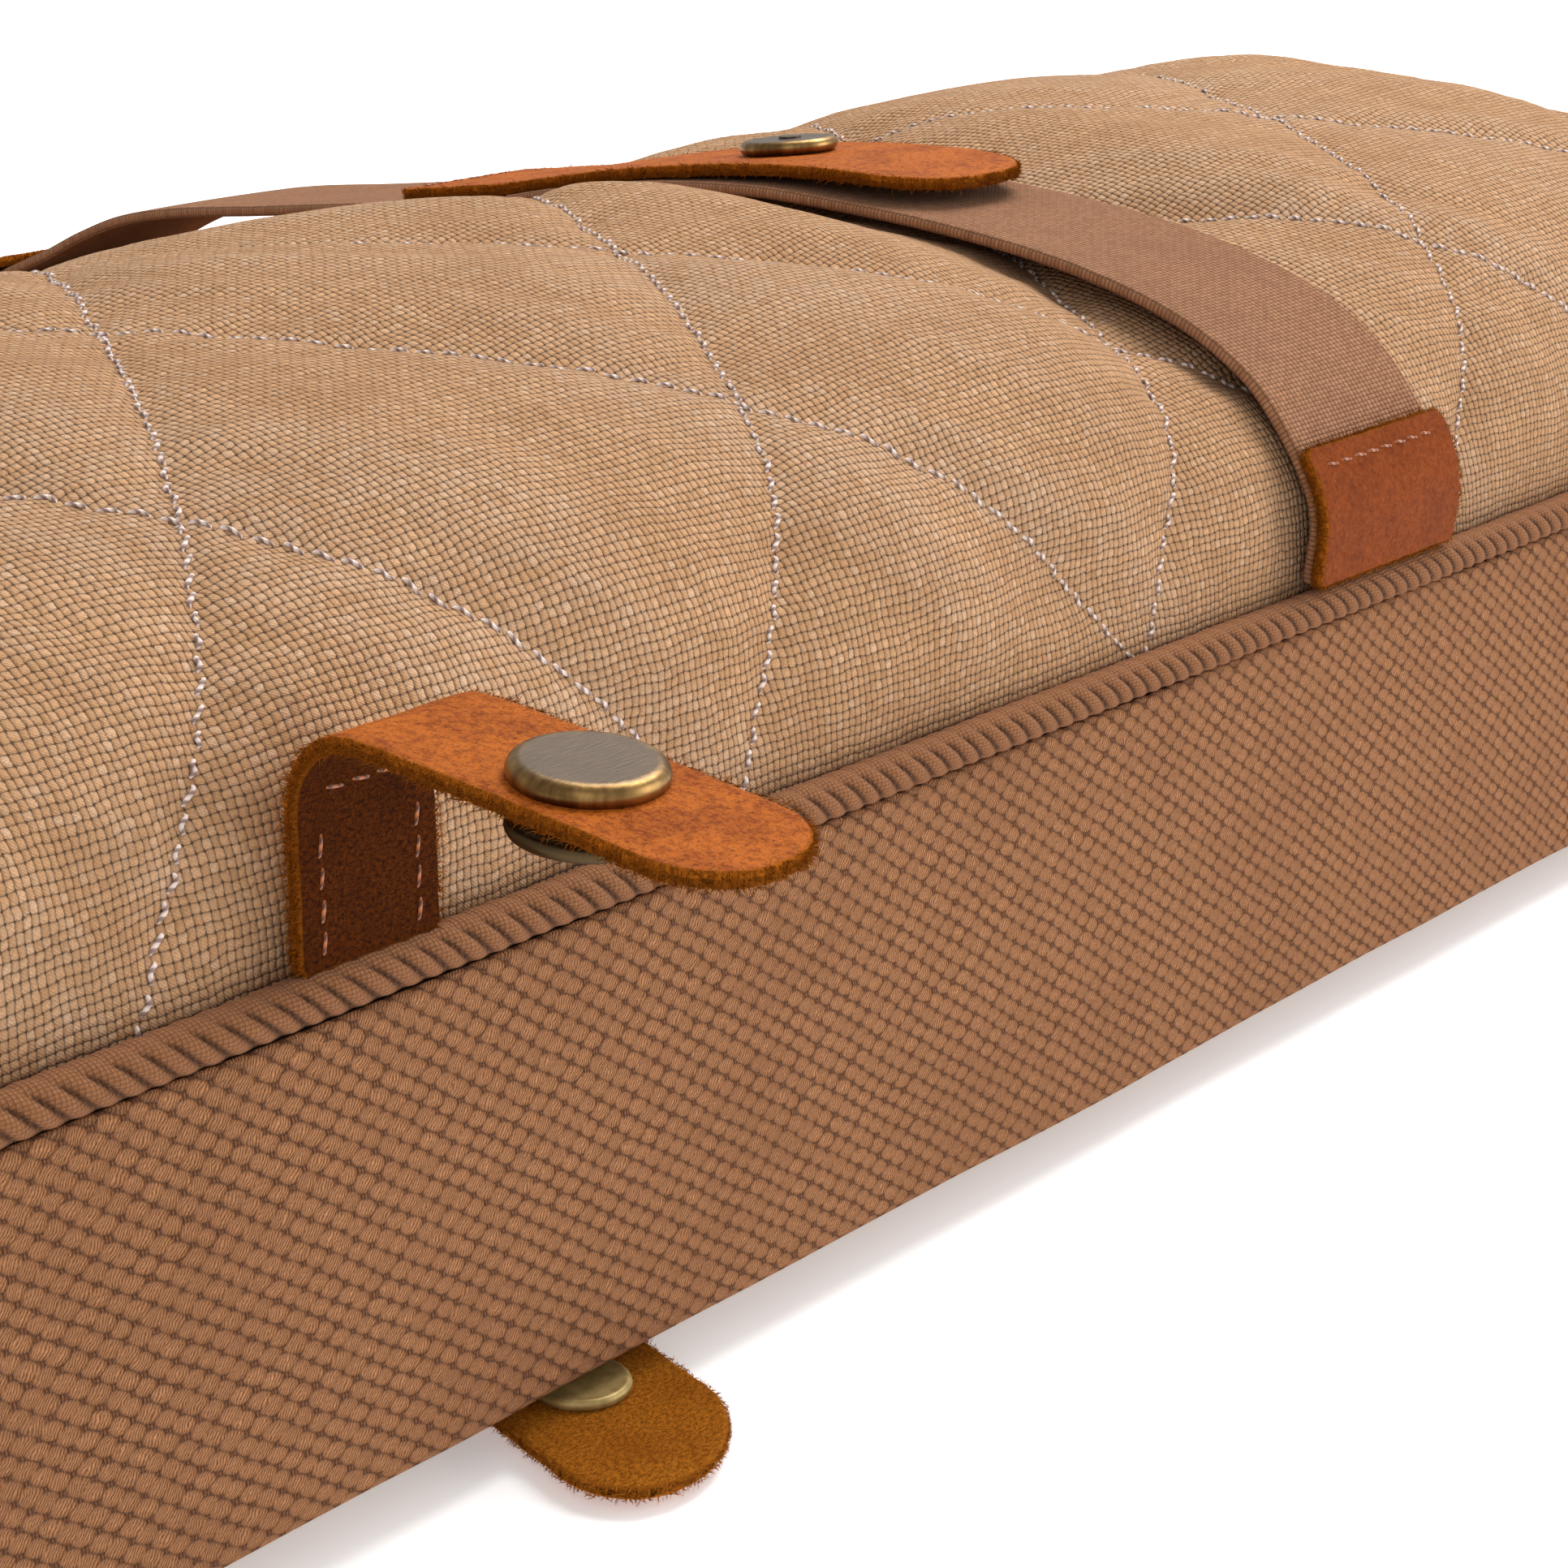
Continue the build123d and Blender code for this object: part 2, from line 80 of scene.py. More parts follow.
# The stuffed front
DOME_INSET = 9.6
DOME_HALF = HALF - DOME_INSET
DOME_END = END_X - DOME_INSET
DOME_Z = BACK_RISE + 46.6
ROUNDNESS = 3.4         # superellipse power of its cross-section
CROWN = 51.0            # rise of its middle beyond the strap
MIDDLE_CROWN = 49.0
MOUTH_CROWN = 40.0
STRAP_DIP = 6.5
SIDE_SKEW = 0.7         # how much lower it lies towards +Y
END_FALL = 70.0
SKIN = 7.2              # canvas, foam and lining together

# Seams
SEAM_INSET = 6.8
PIPING_Z = BACK_RISE + 47.6
PIPING_RADIUS = 2.4
PIPING_RIB = 0.66       # depth of the ribs, and their pitch
PIPING_PITCH = 2.95
BACK_PIPING_INSET = 4.7
BACK_PIPING_Z = BACK_RISE + 0.5
BACK_PIPING_RADIUS = 2.0
FLAT_HALF = 96.0
BACK_INSET = 7.6        # back panel's edge in from the band
BACK_HALF = HALF - BACK_INSET
BACK_END = END_X - BACK_INSET
BACK_CORNER = BAND_CORNER - BACK_INSET
BACK_PILLOW = 2.6       # depth of the back panel's quilting
BACK_MIDDLE = 150.0     # where y = 0 lies across the back panel's cut
FRONT_PILLOW = 3.4

# Strap and tabs
STRAP_LOW, STRAP_HIGH = node_box("strap_near_half")
STRAP_X = (STRAP_LOW[0] + STRAP_HIGH[0]) / 2
STRAP_WIDTH = STRAP_HIGH[0] - STRAP_LOW[0]
STRAP_THICK = 1.8
STRAP_CLEAR = 0.6
LEATHER = 1.8
SOFT_EDGE = 0.5         # radius of a worn leather edge
HAIRS_PER_MM = 34       # loose fibres on a cut edge
SIDES = {"near": -1, "far": 1}

# Sewing: pitch and length of a stitch
QUILT_STITCH = 3.15, 2.75
TAPE_STITCH = 3.4, 2.9
STRAP_STITCH = 3.2, 2.6
TAB_STITCH = 3.1, 2.5


# ---------------------------------------------------------------- numbers

def smooth(t):
    t = np.clip(t, 0.0, 1.0)
    return t * t * (3 - 2 * t)


def superellipse(t):
    t = np.clip(np.abs(t), 0.0, 1.0)
    return (1 - t ** ROUNDNESS) ** (1 / ROUNDNESS)


def crown_at(x, inset):
    rise = MOUTH_CROWN + (MIDDLE_CROWN - MOUTH_CROWN) * smooth((x - MOUTH_X) / 90)
    rise = rise + (CROWN - MIDDLE_CROWN) * smooth((x - STRAP_X) / 60)
    rise = rise - STRAP_DIP * (1 - smooth((np.abs(x - STRAP_X) - 12) / 32))
    along = (x - (DOME_END - inset - END_FALL)) / END_FALL
    return (rise - inset) * superellipse(np.maximum(along, 0.0))


def half_width_at(x, half, end, corner):
    over = np.maximum(x - (end - corner), 0.0)
    return half - corner + np.sqrt(np.maximum(corner ** 2 - over ** 2, 0.0))


def side_share(t):
    return 1 - SIDE_SKEW * smooth((t + 0.4) / 1.3)


def front_height(x, y, inset=0.0):
    half = half_width_at(x, DOME_HALF - inset, DOME_END - inset, BAND_CORNER - DOME_INSET)
    t = np.clip(y / half, -1, 1)
    return DOME_Z + crown_at(x, inset) * side_share(t) * superellipse(t)


LATTICE = RNG.random((64, 64))


def noise(u, v, shift):
    """Smooth value noise from -1 to 1."""
    u, v = np.asarray(u, float) + 17.3 * shift, np.asarray(v, float) + 9.7 * shift
    iu, iv = np.floor(u).astype(int), np.floor(v).astype(int)
    fu, fv = smooth(u - iu), smooth(v - iv)
    a = LATTICE[iu % 64, iv % 64]
    b = LATTICE[(iu + 1) % 64, iv % 64]
    c = LATTICE[iu % 64, (iv + 1) % 64]
    d = LATTICE[(iu + 1) % 64, (iv + 1) % 64]
    return 2 * ((a * (1 - fu) + b * fu) * (1 - fv) + (c * (1 - fu) + d * fu) * fv) - 1


def fractal(u, v, shift):
    total = 0.0
    for k in range(3):
        total = total + noise(u * 2 ** k, v * 2 ** k, shift + k) * 0.55 ** k
    return total


def run_lengths(points):
    """Length along a line of points, from 0."""
    steps = np.linalg.norm(np.diff(points, axis=0), axis=1)
    return np.concatenate([[0.0], np.cumsum(steps)])


def resample(points, count):
    """The same line with evenly spaced points."""
    length = run_lengths(points)
    at = np.linspace(0, length[-1], count)
    return np.stack([np.interp(at, length, points[:, k]) for k in range(points.shape[1])], 1)


def curve_through(points, step=0.4):
    """Smooth line through the points (Catmull-Rom), evenly spaced."""
    p = np.array(points, float)
    p = np.vstack([2 * p[0] - p[1], p, 2 * p[-1] - p[-2]])
    out = []
    for i in range(1, len(p) - 2):
        t = np.linspace(0, 1, 24, endpoint=False)[:, None]
        a, b, c, d = p[i - 1], p[i], p[i + 1], p[i + 2]
        out.append(0.5 * (2 * b + (c - a) * t + (2 * a - 5 * b + 4 * c - d) * t ** 2
                          + (3 * b - a - 3 * c + d) * t ** 3))
    line = np.vstack(out + [p[-2][None]])
    return resample(line, max(int(run_lengths(line)[-1] / step), 2))


def unit(vectors):
    """The same directions with length one."""
    return vectors / np.maximum(np.linalg.norm(vectors, axis=-1, keepdims=True), 1e-9)


def grid_normals(points):
    """Unit normals of a grid of points."""
    return unit(np.cross(np.gradient(points, axis=0), np.gradient(points, axis=1)))


# ---------------------------------------------------------------- meshes

def make_mesh(name, verts, faces, uv, material, values=None):
    """A smooth mesh piece; uv in millimetres, values as point attributes."""
    data = bpy.data.meshes.new(name)
    data.from_pydata((np.asarray(verts) * MM).tolist(), [], np.asarray(faces).tolist())
    layer = data.uv_layers.new(name="flat")
    corner = np.zeros(len(data.loops), int)
    data.loops.foreach_get("vertex_index", corner)
    layer.data.foreach_set("uv", np.asarray(uv, np.float32)[corner].ravel())
    for key, value in (values or {}).items():
        slot = data.attributes.new(key, "FLOAT", "POINT")
        slot.data.foreach_set("value", np.asarray(value, np.float32).ravel())
    data.shade_smooth()
    data.materials.append(material)
    piece = bpy.data.objects.new(name, data)
    bpy.context.scene.collection.objects.link(piece)
    return piece


def grid_faces(rows, columns, wrap=False, flip=False, first=0):
    """Quads of a grid of points, joined across the columns' ends if wrap."""
    i, j = np.meshgrid(np.arange(rows - 1), np.arange(columns if wrap else columns - 1), indexing="ij")
    k = (j + 1) % columns
    quads = np.stack([i * columns + j, (i + 1) * columns + j, (i + 1) * columns + k, i * columns + k], -1)
    quads = quads.reshape(-1, 4) + first
    return quads[:, ::-1] if flip else quads


def spread(*fields):
    """Fields brought to one shape and stacked along a last axis."""
    return np.stack(np.broadcast_arrays(*fields), -1)


def grid_piece(name, points, uv, material, values=None, wrap=False, flip=False):
    faces = grid_faces(*points.shape[:2], wrap, flip)
    return make_mesh(name, points.reshape(-1, 3), faces, uv.reshape(-1, 2), material, values)


def dress(piece, slot, body, *nodes):
    """Hides the CAD nodes a piece stands for, and attaches it to its body unless it's blended; slot is not
    used.
    """
    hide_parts(*nodes)
    if body:
        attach(piece, body)


def u_path(inset, start, step):
    """Line round three sides, inset from the band's lower edge: points, outward normals and length."""
    half, end, radius = HALF - inset, END_X - inset, BAND_CORNER - inset
    turn = np.linspace(0, math.pi / 2, 60)
    near = np.array([[start, -half], [end - radius, -half]])
    corner_1 = np.stack([end - radius + radius * np.sin(turn), -half + radius - radius * np.cos(turn)], 1)
    corner_2 = np.stack([end - radius + radius * np.cos(turn), half - radius + radius * np.sin(turn)], 1)
    line = np.vstack([near, corner_1[1:], corner_2, [[start, half]]])
    line = resample(line, int(run_lengths(line)[-1] / step))
    tangent = unit(np.gradient(line, axis=0))
    return line, np.stack([tangent[:, 1], -tangent[:, 0]], 1), run_lengths(line)


def beside(line, outward, inset, z):
    """Grid of points in from a line by inset, at heights z."""
    flat = line[:, None] - outward[:, None] * inset[..., None]
    return np.concatenate([flat, np.broadcast_to(z, flat.shape[:2])[..., None]], -1)


def tube_along_u(name, inset, z, radius):
    """Twisted-cord piping round a seam: slanted lumps with narrow grooves, darkened by painted shade through
    its rib value.
    """
    line, outward, length = u_path(inset, MOUTH_X + 1.3, 0.36)
    turn = np.linspace(math.pi, -math.pi, 25)
    phase = length[:, None] + np.where(turn < 1.2, turn, 1.2 + (turn - 1.2) * 0.3)[None] * radius * 0.85
    phase = phase / PIPING_PITCH + 0.08 * noise(length / 8, length * 0, 7)[:, None]
    wave = 2 * np.abs(np.sin(math.pi * phase)) ** 0.85 - 1
    fade = 0.72 * smooth((turn - 0.55) / 0.8) * smooth((3.2 - turn) / 0.8) + 0.9 * smooth((-0.7 - turn) / 0.6)
    wave = 1 - (1 - wave) * (1 - fade)[None]
    size = radius * (1 + 0.02 * noise(length / 9, length * 0, 3))[:, None] + PIPING_RIB * (wave - 1) * 0.5
    height = z + size * np.sin(turn)[None] + 0.15 * noise(length / 30, length * 0, 5)[:, None]
    points = beside(line, outward, -size * np.cos(turn)[None], height)
    uv = spread(length[:, None], turn[None] * radius)
    ends = [np.broadcast_to(points[k].mean(0), points[k].shape)[None] for k in (0, -1)]
    points = np.concatenate([ends[0], points, ends[1]], 0)
    uv = np.concatenate([uv[:1], uv, uv[-1:]], 0)
    wave = np.concatenate([wave[:1], wave, wave[-1:]], 0)
    return grid_piece(name, points, uv, PIPING, {"rib": 0.5 + 0.5 * wave})


class Run:
    """A line in the YZ plane that a flat strip follows. Heights are towards the grain side."""

    def __init__(self, line, grain_left=False, drift=None):
        self.line = np.array(line, float)
        self.length = run_lengths(self.line)
        tangent = unit(np.gradient(self.line, axis=0))
        way = -1.0 if grain_left else 1.0
        self.normal = np.stack([tangent[:, 1], -tangent[:, 0]], 1) * way
        self.drift = drift
        self.end = self.length[-1]
        steps = self.line[1] - self.line[0], self.line[-1] - self.line[-2]
        self.ways = [step / np.linalg.norm(step) for step in steps]

    def place(self, x, s, w, h):
        """Points at s along, w across and h above the middle of a strip that is centred on x."""
        s, w, h = np.broadcast_arrays(np.asarray(s, float), w, h)
        out = np.zeros(s.shape + (3,))
        over = np.maximum(s - self.end, 0) + np.minimum(s, 0)
        for k in (0, 1):
            base = np.interp(s, self.length, self.line[:, k])
            side = np.interp(s, self.length, self.normal[:, k])
            way = np.where(s > self.end / 2, self.ways[1][k], self.ways[0][k])
            out[..., k + 1] = base + side * h + way * over
        out[..., 0] = x + w + (self.drift(s) if self.drift else 0.0)
        return out

    def seam(self, x, s, w, h):
        """Stitch line at height h: its points, and the way out of the strip there."""
        points = self.place(x, s, w, h)
        return points, self.place(x, s, w, h + math.copysign(1, h)) - points


def outline_of(length, width, tip, start_round):
    """Closed outline of a strip from s = 0 to length, with both ends' corner radii, and its middle line."""
    half, step = width / 2, 0.5

    def corner(cs, cw, r, start):
        a = np.linspace(start, start + 0.5 * math.pi, max(int(0.5 * math.pi * r / step), 3))
        return np.stack([cs + r * np.cos(a), cw + r * np.sin(a)], 1)

    loop = [corner(start_round, -half + start_round, start_round, math.pi),
            corner(length - tip, -half + tip, tip, -0.5 * math.pi),
            corner(length - tip, half - tip, tip, 0),
            corner(start_round, half - start_round, start_round, 0.5 * math.pi)]
    ring = np.vstack(loop + [loop[0][:1]])
    ring = resample(ring, int(run_lengths(ring)[-1] / step))[:-1]
    low = min(half, length / 2)
    middle = np.stack([np.clip(ring[:, 0], low, max(length - half, low)), np.zeros(len(ring))], 1)
    return ring, middle


def edge_hairs(run, x, ring, direction, thick, longest):
    """Short loose fibres standing on the cut edge of a leather strip."""
    count = int(run_lengths(ring)[-1] * HAIRS_PER_MM)
    pick = RNG.integers(0, len(ring), count)
    low = RNG.uniform(-0.5, 0.5, count) * thick * 0.96
    out = -direction[pick]
    swing = RNG.normal(0, 0.8, (count, 2))
    reach = RNG.uniform(0.12, longest, count)
    thin = RNG.uniform(0.035, 0.07, count)
    bend = RNG.normal(0, 0.55, (count, 2))
    beside_out = np.stack([-out[:, 1], out[:, 0]], 1)
    verts = np.zeros((count, 3, 3, 3))
    flat = np.zeros((count, 3, 3, 2))
    for k, (share, taper) in enumerate(((-0.15, 1.0), (0.5, 0.8), (1.0, 0.25))):
        away = out + beside_out * (swing[:, :1] + bend[:, :1] * share)
        at = ring[pick] + away * (reach * share)[:, None]
        up = low + (swing[:, 1] + bend[:, 1] * share) * reach * max(share, 0) * 0.7
        size = thin * taper
        for c, turn in enumerate(np.linspace(0, 2 * math.pi, 3, endpoint=False)):
            along = at + beside_out * (size * math.cos(turn))[:, None]
            verts[:, k, c] = run.place(x, along[:, 0], along[:, 1], up + size * math.sin(turn))
            verts[:, k, c, 2] = np.maximum(verts[:, k, c, 2], 0.05)
            flat[:, k, c] = at + low[:, None]
    return verts.reshape(-1, 3), flat.reshape(-1, 2), count


def leather_strip(name, run, x, length, width, material, tip, start_round, seed, thick=LEATHER, longest=0.75):
    """Thick leather cut to an outline, with soft worn edges, laid along a run."""
    ring, middle = outline_of(length, width, tip, start_round)
    reach = np.linalg.norm(middle - ring, axis=1)
    direction = (middle - ring) / reach[:, None]
    steps = np.linspace(0, 1, 16) ** 1.4
    # Loops from the middle of the grain side to the cut edge: fixed inset, share of the reach, height, edge
    top = [(SOFT_EDGE, t, thick / 2, 0.0) for t in steps[::-1]]
    for a in np.linspace(15, 90, 5):
        a = math.radians(a)
        top.append((SOFT_EDGE * (1 - math.sin(a)), 0.0, thick / 2 - SOFT_EDGE * (1 - math.cos(a)), math.sin(a)))
    top.append((0.0, 0.0, 0.2 * thick, 1.0))
    loops = top + [(fixed, t, -h, on_edge) for fixed, t, h, on_edge in top[::-1]]
    verts, uv, edge, flesh = [], [], [], []
    along = run_lengths(np.vstack([ring, ring[:1]]))[:-1]
    for fixed, t, h, on_edge in loops:
        ragged = 0.12 * on_edge * fractal(along / 1.1, h * 1.3, seed)
        flat = ring + direction * (fixed + (reach - SOFT_EDGE) * t + ragged)[:, None]
        level = h + 0.05 * fractal(flat[:, 0] / 6, flat[:, 1] / 6, seed + 4)
        verts.append(run.place(x, flat[:, 0], flat[:, 1], level))
        uv.append(flat)
        edge += [on_edge] * len(ring)
        flesh += [0.5 - h / thick] * len(ring)
    solid = len(loops) * len(ring)
    loose, loose_flat, count = edge_hairs(run, x, ring, direction, thick, longest)
    hair = grid_faces(3, 3, wrap=True)[None] + (solid + 9 * np.arange(count))[:, None, None]
    faces = np.vstack([grid_faces(len(loops), len(ring), wrap=True), hair.reshape(-1, 4)])
    values = {"edge": edge + [1.0] * (9 * count), "flesh": flesh + [0.5] * (9 * count)}
    piece = make_mesh(name, np.vstack(verts + [loose]), faces, np.vstack(uv + [loose_flat]), material, values)
    weld(piece, solid)
    return piece


def weld(piece, solid=None):
    """Joins points that coincide among the first solid ones, and makes the normals consistent."""
    work = bmesh.new()
    work.from_mesh(piece.data)
    work.verts.ensure_lookup_table()
    own = work.verts[:solid] if solid else work.verts[:]
    skin = [face for face in work.faces if not solid or face.verts[0].index < solid]
    bmesh.ops.remove_doubles(work, verts=own, dist=0.00002)
    bmesh.ops.recalc_face_normals(work, faces=[face for face in skin if face.is_valid])
    work.to_mesh(piece.data)
    work.free()
    piece.data.shade_smooth()


def lathe(name, profile, place, turn, material):
    """Turned piece: profile of (radius, height, rim) round an axis at place, tilted about X by turn."""
    radius, height, rim = (column[:, None] for column in np.array(profile, float).T)
    angle = np.linspace(0, 2 * math.pi, 112, endpoint=False)
    uv = np.stack([radius * np.cos(angle), radius * np.sin(angle)], -1)
    c, s = math.cos(turn), math.sin(turn)
    points = spread(uv[..., 0] + place[0], uv[..., 1] * c - height * s + place[1],
                    uv[..., 1] * s + height * c + place[2])
    piece = grid_piece(name, points, uv, material, {"rim": np.broadcast_to(rim, points.shape[:2])}, wrap=True)
    weld(piece)
    return piece


def stitches(name, lines, material, pitch, length, radius, lift=0.12, slant=0.16):
    """Thread stitches along lines, each line as (points, normals) on a surface."""
    rings, sides = 9, 8
    t = np.linspace(0, 1, rings)
    swell = np.sqrt(np.clip(1 - (2 * t - 1) ** 4, 0.02, 1))
    turn = np.linspace(0, 2 * math.pi, sides, endpoint=False)
    verts = []
    for points, normals in lines:
        along = run_lengths(points)
        for k in range(int((along[-1] - 1) / pitch)):
            a = 0.5 + k * pitch + RNG.uniform(-0.12, 0.12)
            at = a + t * length * RNG.uniform(0.93, 1.05)
            centre, up = (np.stack([np.interp(at, along, field[:, c]) for c in range(3)], 1)
                          for field in (points, normals))
            up = unit(up)
            side = np.cross(unit(np.gradient(centre, axis=0)), up)
            arch = lift - (radius + lift) * 0.95 * np.abs(2 * t - 1) ** 5
            centre = centre + up * arch[:, None] + side * ((t - 0.5) * slant * length)[:, None]
            size = (radius * swell * RNG.uniform(0.9, 1.08))[:, None]
            ring = (centre[:, None] + up[:, None] * (size * np.sin(turn) * 0.85)[..., None]
                    + side[:, None] * (size * np.cos(turn))[..., None])
            verts.append(ring.reshape(-1, 3))
    one = grid_faces(rings, sides, wrap=True, flip=True)
    faces = one[None] + (rings * sides * np.arange(len(verts)))[:, None, None]
    uv = spread(t[:, None] * length, turn[None] * radius).reshape(-1, 2)
    return make_mesh(name, np.vstack(verts), faces.reshape(-1, 4), np.tile(uv, (len(verts), 1)), material)


# ---------------------------------------------------------------- materials

def wired(tree, node, inputs, output=0):
    """Sets or links a node's inputs, and gives one of its outputs."""
    for key, item in inputs.items():
        if isinstance(item, Value):
            tree.links.new(item.socket, node.inputs[key])
        else:
            node.inputs[key].default_value = (*item, 1.0) if isinstance(item, tuple) else item
    return Value(tree, node.outputs[output])


class Value:
    """A node's output, which can be used in sums."""

    def __init__(self, tree, socket):
        self.tree, self.socket = tree, socket

    def of(self, operation, *others):
        node = self.tree.nodes.new("ShaderNodeMath")
        node.operation = operation
        return wired(self.tree, node, dict(enumerate((self,) + others)))

    def __add__(self, other):
        return self.of("ADD", other)

    def __sub__(self, other):
        return self.of("SUBTRACT", other)

    def __mul__(self, other):
        return self.of("MULTIPLY", other)

    def power(self, other):
        return self.of("POWER", other)

    def sine(self):
        return self.of("SINE")

    def floor(self):
        return self.of("FLOOR")

    def part(self):
        return self.of("FRACT")

    def clamped(self):
        return wired(self.tree, self.tree.nodes.new("ShaderNodeClamp"), {0: self})

    def ramp(self, low, high):
        """Smooth step from 0 at low to 1 at high."""
        node = self.tree.nodes.new("ShaderNodeMapRange")
        node.interpolation_type = "SMOOTHSTEP"
        return wired(self.tree, node, {0: self, 1: low, 2: high})


class Finish:
    """A material being made: its node tree, flat coordinates in millimetres, and colours."""

    def __init__(self, name, roughness, sheen=0.0, metallic=0.0, specular=0.35):
        self.material = bpy.data.materials.new(name)
        self.material.use_nodes = True
        self.tree = self.material.node_tree
        self.shader = self.tree.nodes["Principled BSDF"]
        wired(self.tree, self.shader, {
            "Roughness": roughness, "Metallic": metallic, "Specular IOR Level": specular,
            "Sheen Weight": sheen, "Sheen Roughness": 0.55})
        flat = self.tree.nodes.new("ShaderNodeUVMap")
        flat.uv_map = "flat"
        split = self.tree.nodes.new("ShaderNodeSeparateXYZ")
        self.tree.links.new(flat.outputs[0], split.inputs[0])
        self.u, self.v = (Value(self.tree, split.outputs[k]) for k in (0, 1))

    def made(self, kind, inputs, output=0):
        return wired(self.tree, self.tree.nodes.new("ShaderNode" + kind), inputs, output)

    def noise(self, scale, detail, stretch=1.0, shift=0.0, rough=0.55):
        """Noise over the flat coordinates, with scale in features a millimetre; from 0 to 1."""
        place = self.made("CombineXYZ", {0: self.u * (scale / stretch), 1: self.v * scale, 2: shift})
        inputs = {"Scale": 1.0, "Detail": detail, "Roughness": rough, "Vector": place}
        return self.made("TexNoise", inputs, "Fac")

    def cell_noise(self, u, v, shift=0.0):
        """One random number for each whole u, v."""
        return self.made("TexWhiteNoise", {"Vector": self.made("CombineXYZ", {0: u, 1: v, 2: shift})}, "Value")

    def attribute(self, name):
        node = self.tree.nodes.new("ShaderNodeAttribute")
        node.attribute_name = name
        return Value(self.tree, node.outputs["Fac"])

    def mixed(self, tone, *layers):
        """A tone with others laid over it, each as (tone, share); a tone is a colour or a Value."""
        for cover, share in layers:
            node = self.tree.nodes.new("ShaderNodeMix")
            node.data_type = "RGBA"
            tone = wired(self.tree, node, {6: tone, 7: cover, 0: share}, 2)
        return tone

    def finish(self, tone, height, depth, roughness=None):
        bump = self.made("Bump", {"Strength": 1.0, "Distance": depth * MM, "Height": height})
        wired(self.tree, self.shader, {"Base Color": tone, "Normal": bump})
        if roughness is not None:
            wired(self.tree, self.shader, {"Roughness": roughness})
        return self.material


def plain_weave(f, warp_pitch, weft_pitch, wander, shake=0.0):
    """Height of a plain weave from 0 to 1, the cell each point is in, how closed it is, which yarn is up."""
    u, v = f.u * (1 / warp_pitch), f.v * (1 / weft_pitch)
    for scale, shift, size in ((0.10, 3.0, wander), (0.9, 13.0, shake * 2.0)):
        if size:
            u = u + (f.noise(scale, 2.0, shift=shift) - 0.5) * size
            v = v + (f.noise(scale, 2.0, shift=shift + 5.0) - 0.5) * size
    cu, cv = u.floor(), v.floor()
    pu, pv = u.part(), v.part()
    across_u = (pu * math.pi).sine()
    across_v = (pv * math.pi).sine()
    over = ((cu + cv) * 0.5).part() * 2.0
    under = over * -1.0 + 1.0
    warp = across_u.power(0.75) * across_v.power(0.34) * over
    weft = across_v.power(0.75) * across_u.power(0.34) * under
    return warp + weft, cu, cv, across_u + across_v, over


def canvas_material():
    f = Finish("washed_canvas", 0.94, sheen=0.06, specular=0.1)
    height, cu, cv, open_up, over = plain_weave(f, 0.93, 1.06, 1.5, 0.22)
    fibre = f.noise(4.2, 4.0, stretch=0.7, shift=2.0, rough=0.7)
    thread = f.cell_noise(cu, cv)
    column = f.cell_noise(cu, cv * 0.0, 5.0)
    row = f.cell_noise(cu * 0.0, cv, 9.0)
    yarn = ((f.u * 15.0) + (f.v * 17.0) + fibre * 5.0).sine() * 0.5 + 0.5
    tone = f.mixed(
        (0.49, 0.260, 0.118),
        ((0.74, 0.425, 0.222), (column * 0.3 + row * 0.3 + thread * 0.55).clamped()),
        ((0.64, 0.50, 0.38), (thread.ramp(0.72, 1.0) * fibre.ramp(0.40, 0.62)) * 0.55),
        ((0.44, 0.215, 0.09), f.noise(0.05, 4.0, shift=1.0).ramp(0.42, 0.68) * 0.32),
        ((0.74, 0.52, 0.36), (f.attribute("rub") * f.noise(0.30, 4.0, shift=6.0).ramp(0.3, 0.65)) * 0.42),
        ((0.30, 0.155, 0.075), fibre.ramp(0.56, 0.36) * 0.35),
        ((0.42, 0.225, 0.105), over * 0.38),
        # Painted shade: darker where the weave sinks, and near black in the open gaps at the yarn crossings.
        ((0.20, 0.105, 0.050), height.ramp(0.50, 0.12) * 0.50),
        ((0.085, 0.042, 0.020), (open_up + fibre * 0.3).ramp(1.12, 0.50) * 0.86),
        ((0.56, 0.20, 0.05), f.noise(0.55, 1.0, shift=31.0).ramp(0.77, 0.80) * 0.6))
    return f.finish(tone, height + over * 0.22 + yarn * 0.10 + fibre * 0.34, depth=0.44)


